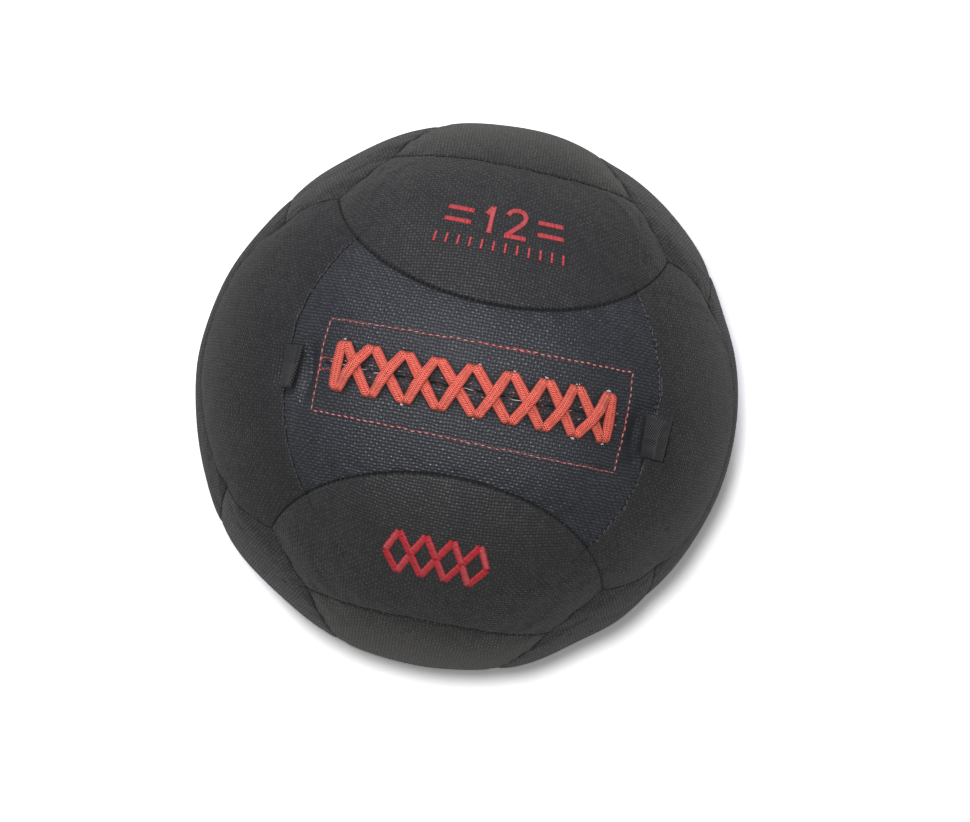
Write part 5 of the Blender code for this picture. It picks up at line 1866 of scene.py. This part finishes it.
@dataclass
class Embroidery:
    """Generic satin-stitched marks: the plain number and a row of ticks above, a row of lozenges below."""

    surface: CoverSurface
    relief: float = 0.9 * MM
    # Stroke widths in millimetres, as the marks' places are
    figure_width: float = 3.0
    tick_width: float = 1.4
    lozenge_width: float = 4.4
    thread_step: float = 0.55

    def stroke(self, points: list[tuple], width: float, smooth: bool = False,
               finish: Finish = LIGHT_SATIN) -> Piece:
        """Build one satin stroke.

        Args:
            points: its corners, in millimetres from the middle of the laced panel.
            width: its width in millimetres.
            smooth: round the corners off.
            finish: its finish.

        Returns:
            The stroke.
        """
        corners = np.array(points, dtype=float)
        run = run_along(corners)
        count = max(int(run[-1] / self.thread_step), 4)
        place = np.linspace(0, run[-1], count)
        line = np.stack([np.interp(place, run, corners[:, axis]) for axis in range(2)], axis=-1)
        if smooth:
            for _ in range(12):
                line[1:-1] = (line[:-2] + 2 * line[1:-1] + line[2:]) / 4
        source = np.random.default_rng(count + int(abs(corners).sum()))
        jag = width / 2 * MM * (1 + 0.05 * source.normal(size=count))
        directions = self.surface.direction(line[:, 0] * MM, line[:, 1] * MM)
        centre = self.surface.at(directions, 0.0)
        heading = unit(np.gradient(directions, axis=0))
        side = np.cross(heading, directions)
        ends = np.clip(np.minimum(place, run[-1] - place) / (0.35 * width), 0.25, 1) ** 0.5
        return tube("satin", centre, side, jag, self.relief * ends, finish, rounded_section(14, 0.62))

    def add(self, name: str, pieces: list[Piece]) -> None:
        """Join the strokes of one mark into one piece on the ball."""
        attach(join(name, pieces), "ball")

    def build(self) -> None:
        """Build both marks."""
        wide = self.figure_width
        one = [self.stroke([(-14, 110), (-10, 116), (-10, 96)], wide)]
        two = [self.stroke([(1, 112), (3, 115.6), (8, 117), (13, 115.4), (14.4, 111), (12, 106.5), (1.6, 96.6)],
                           wide, smooth=True), self.stroke([(0.4, 96.4), (15.6, 96.4)], wide)]
        bars = [self.stroke([(side * 23, y), (side * 42, y)], wide) for side in (1, -1) for y in (101.5, 110.5)]
        ticks = [self.stroke([(x, 84), (x, 91)], self.tick_width) for x in np.linspace(-44, 42, 12)]
        self.add("number_mark", one + two + bars)
        self.add("tick_mark", ticks)
        lozenges = []
        for middle in (-29.5, -11.5, 6.5, 24.5):
            corners = [(middle - 9, -104), (middle, -89), (middle + 9, -104), (middle, -119), (middle - 9, -104)]
            lozenges += [self.stroke([a, b], self.lozenge_width, finish=SATIN) for a, b in zip(corners, corners[1:])]
        self.add("lozenge_mark", lozenges)
        LOG.info("marks embroidered")


# Filling


@dataclass
class InnerPiece:
    """A soft piece inside the ball, made again with a finer, uneven surface within its CAD form."""

    node: str
    finish: Finish
    slot: str
    unevenness: float
    width: float
    fill: float | None = None
    cuts: int = 3

    def build(self) -> None:
        """Build the piece from its node's form."""
        work = bmesh.new()
        work.from_mesh(frame["nodes"][self.node].data)
        bmesh.ops.subdivide_edges(work, edges=work.edges, cuts=self.cuts, use_grid_fill=True)
        work.normal_update()
        places = np.array([vertex.co[:] for vertex in work.verts])
        depth = (smooth_noise(places, self.width, 31) * 0.5 + 0.5).clip(0, 1) * self.unevenness
        for vertex, inward in zip(work.verts, depth):
            vertex.co -= vertex.normal * float(inward)
        mesh = bpy.data.meshes.new(self.node + "_soft")
        work.to_mesh(mesh)
        work.free()
        mesh.materials.append(self.finish.material())
        mesh.shade_smooth()
        piece = add_object(self.node + "_soft", mesh)
        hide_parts(self.node)
        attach(piece, "ball")


def build_inside() -> None:
    """Build the soft pieces inside the ball, and finish the sand and the tie."""
    for piece in (InnerPiece("inner_bag", BAG_CLOTH, "inner_bag", unevenness=0.15 * MM, width=14 * MM),
                  InnerPiece("upper_stuffing", FIBRE, "stuffing", unevenness=0.8 * MM, width=9 * MM, fill=1.0),
                  InnerPiece("lower_stuffing", FIBRE, "stuffing", unevenness=0.8 * MM, width=9 * MM, fill=1.0),
                  InnerPiece("sand_bag", CORE_CLOTH, "sand_bag", unevenness=0.15 * MM, width=14 * MM, fill=1.0),
                  InnerPiece("lace_knot", CORD, "lace", unevenness=0.25 * MM, width=2 * MM)):
        piece.build()
    for node, finish in (("sand", SAND_GRAINS), ("neck_tie", TIE_NYLON)):
        mesh = frame["nodes"][node].data
        mesh.materials.clear()
        mesh.materials.append(finish.material())
    LOG.info("filling built")


# Studio


@dataclass
class Studio:
    """Pale floor, soft light and the camera at the photograph's viewing angle."""

    centre: Array
    radius: float
    lens: float = 62.65
    turn: tuple[float, float, float] = (-0.0177, 0.0278, -0.1932)
    offset: tuple[float, float, float] = (-0.0652, 0.0484, -6.2866)
    floor_half: float = 4.0
    room_light: float = 0.15

    def build_camera(self) -> None:
        """Set the camera, from the turn and offset of the ball seen from it, in ball radii."""
        turn = Vector(self.turn)
        rotation = Matrix.Rotation(turn.length, 3, turn.normalized()).transposed()
        place = Vector(self.centre) - self.radius * (rotation @ Vector(self.offset))
        data = bpy.data.cameras.new("camera")
        data.lens, data.sensor_width, data.sensor_fit = self.lens, 36.0, "HORIZONTAL"
        data.clip_start, data.clip_end = 0.05, 20.0
        camera = add_object("camera", data)
        camera.matrix_world = Matrix.Translation(place) @ rotation.to_4x4()
        bpy.context.scene.camera = camera

    def build_lamp(self, name: str, place: tuple, size: float, power: float, colour: str) -> None:
        """Add one soft lamp that points at the ball.

        Args:
            name: the lamp's name.
            place: where it stands, in metres.
            size: its width.
            power: its power, in watts.
            colour: its colour, as hex digits.
        """
        data = bpy.data.lights.new(name, "AREA")
        data.shape, data.size, data.energy = "DISK", size, power
        data.color = linear(colour)[:3]
        lamp = add_object(name, data)
        toward = Vector(self.centre) - Vector(place)
        lamp.matrix_world = Matrix.Translation(Vector(place)) @ toward.to_track_quat("-Z", "Y").to_matrix().to_4x4()

    def build(self) -> None:
        """Build the floor, the light and the camera; it sees the world as white, and the ball is lit by less."""
        corners = [(x * self.floor_half, y * self.floor_half, 0.0) for x, y in ((-1, -1), (1, -1), (1, 1), (-1, 1))]
        floor = mesh_object("floor", np.array(corners), [[0, 1, 2, 3]], PAPER)
        self.build_camera()
        self.build_lamp("overhead_lamp", (-0.046, 0.001, 1.24), size=0.07, power=6.6, colour="ffffff")
        self.build_lamp("upper_softbox", (-0.66, 1.17, 1.62), size=0.5, power=12.8, colour="f2f4ff")
        world = bpy.data.worlds.new("studio")
        bpy.context.scene.world = world
        world.use_nodes = True
        tree = world.node_tree
        tree.nodes.clear()
        rays = add_node(tree, "LightPath")
        room = add_node(tree, "Background", inputs={"Color": linear("ffffff"), "Strength": self.room_light})
        white = add_node(tree, "Background", inputs={"Color": (1, 1, 1, 1), "Strength": 1.0})
        seen = rays.outputs["Is Camera Ray"]
        mixed = add_node(tree, "MixShader", inputs={0: seen, 1: room.outputs[0], 2: white.outputs[0]})
        add_node(tree, "OutputWorld", inputs={"Surface": mixed.outputs[0]})
        LOG.info("studio ready")


def main() -> None:
    """Build every piece in order."""
    pattern = SeamPattern()
    centre = np.array([0.0, 0.0, pattern.diameter / 2 - REST_FLAT])
    feet = unit(np.array([joint["pos_m"] for joint in frame["record"]["behaviour"]["joints"]]) - centre)
    form = CoverForm(pattern, centre, feet)
    panels, surface = Cover(form).build()
    Lacing(surface).build(panels["laced_panel"])
    EndStitching(surface, pattern).build()
    WebbingLoop("west_loop", length=17.2 * MM, bulge=4.2 * MM, lean=math.radians(72), taper=0.42).build(centre)
    WebbingLoop("east_loop", length=18.5 * MM, bulge=14 * MM, lean=math.radians(38), twist=3.5 * MM,
                ridge=0.7).build(centre)
    Embroidery(surface).build()
    build_inside()
    Studio(centre, pattern.diameter / 2).build()
    bpy.context.scene.view_settings.view_transform = "Standard"
    bpy.context.view_layer.update()


if __name__ == "__main__":
    main()
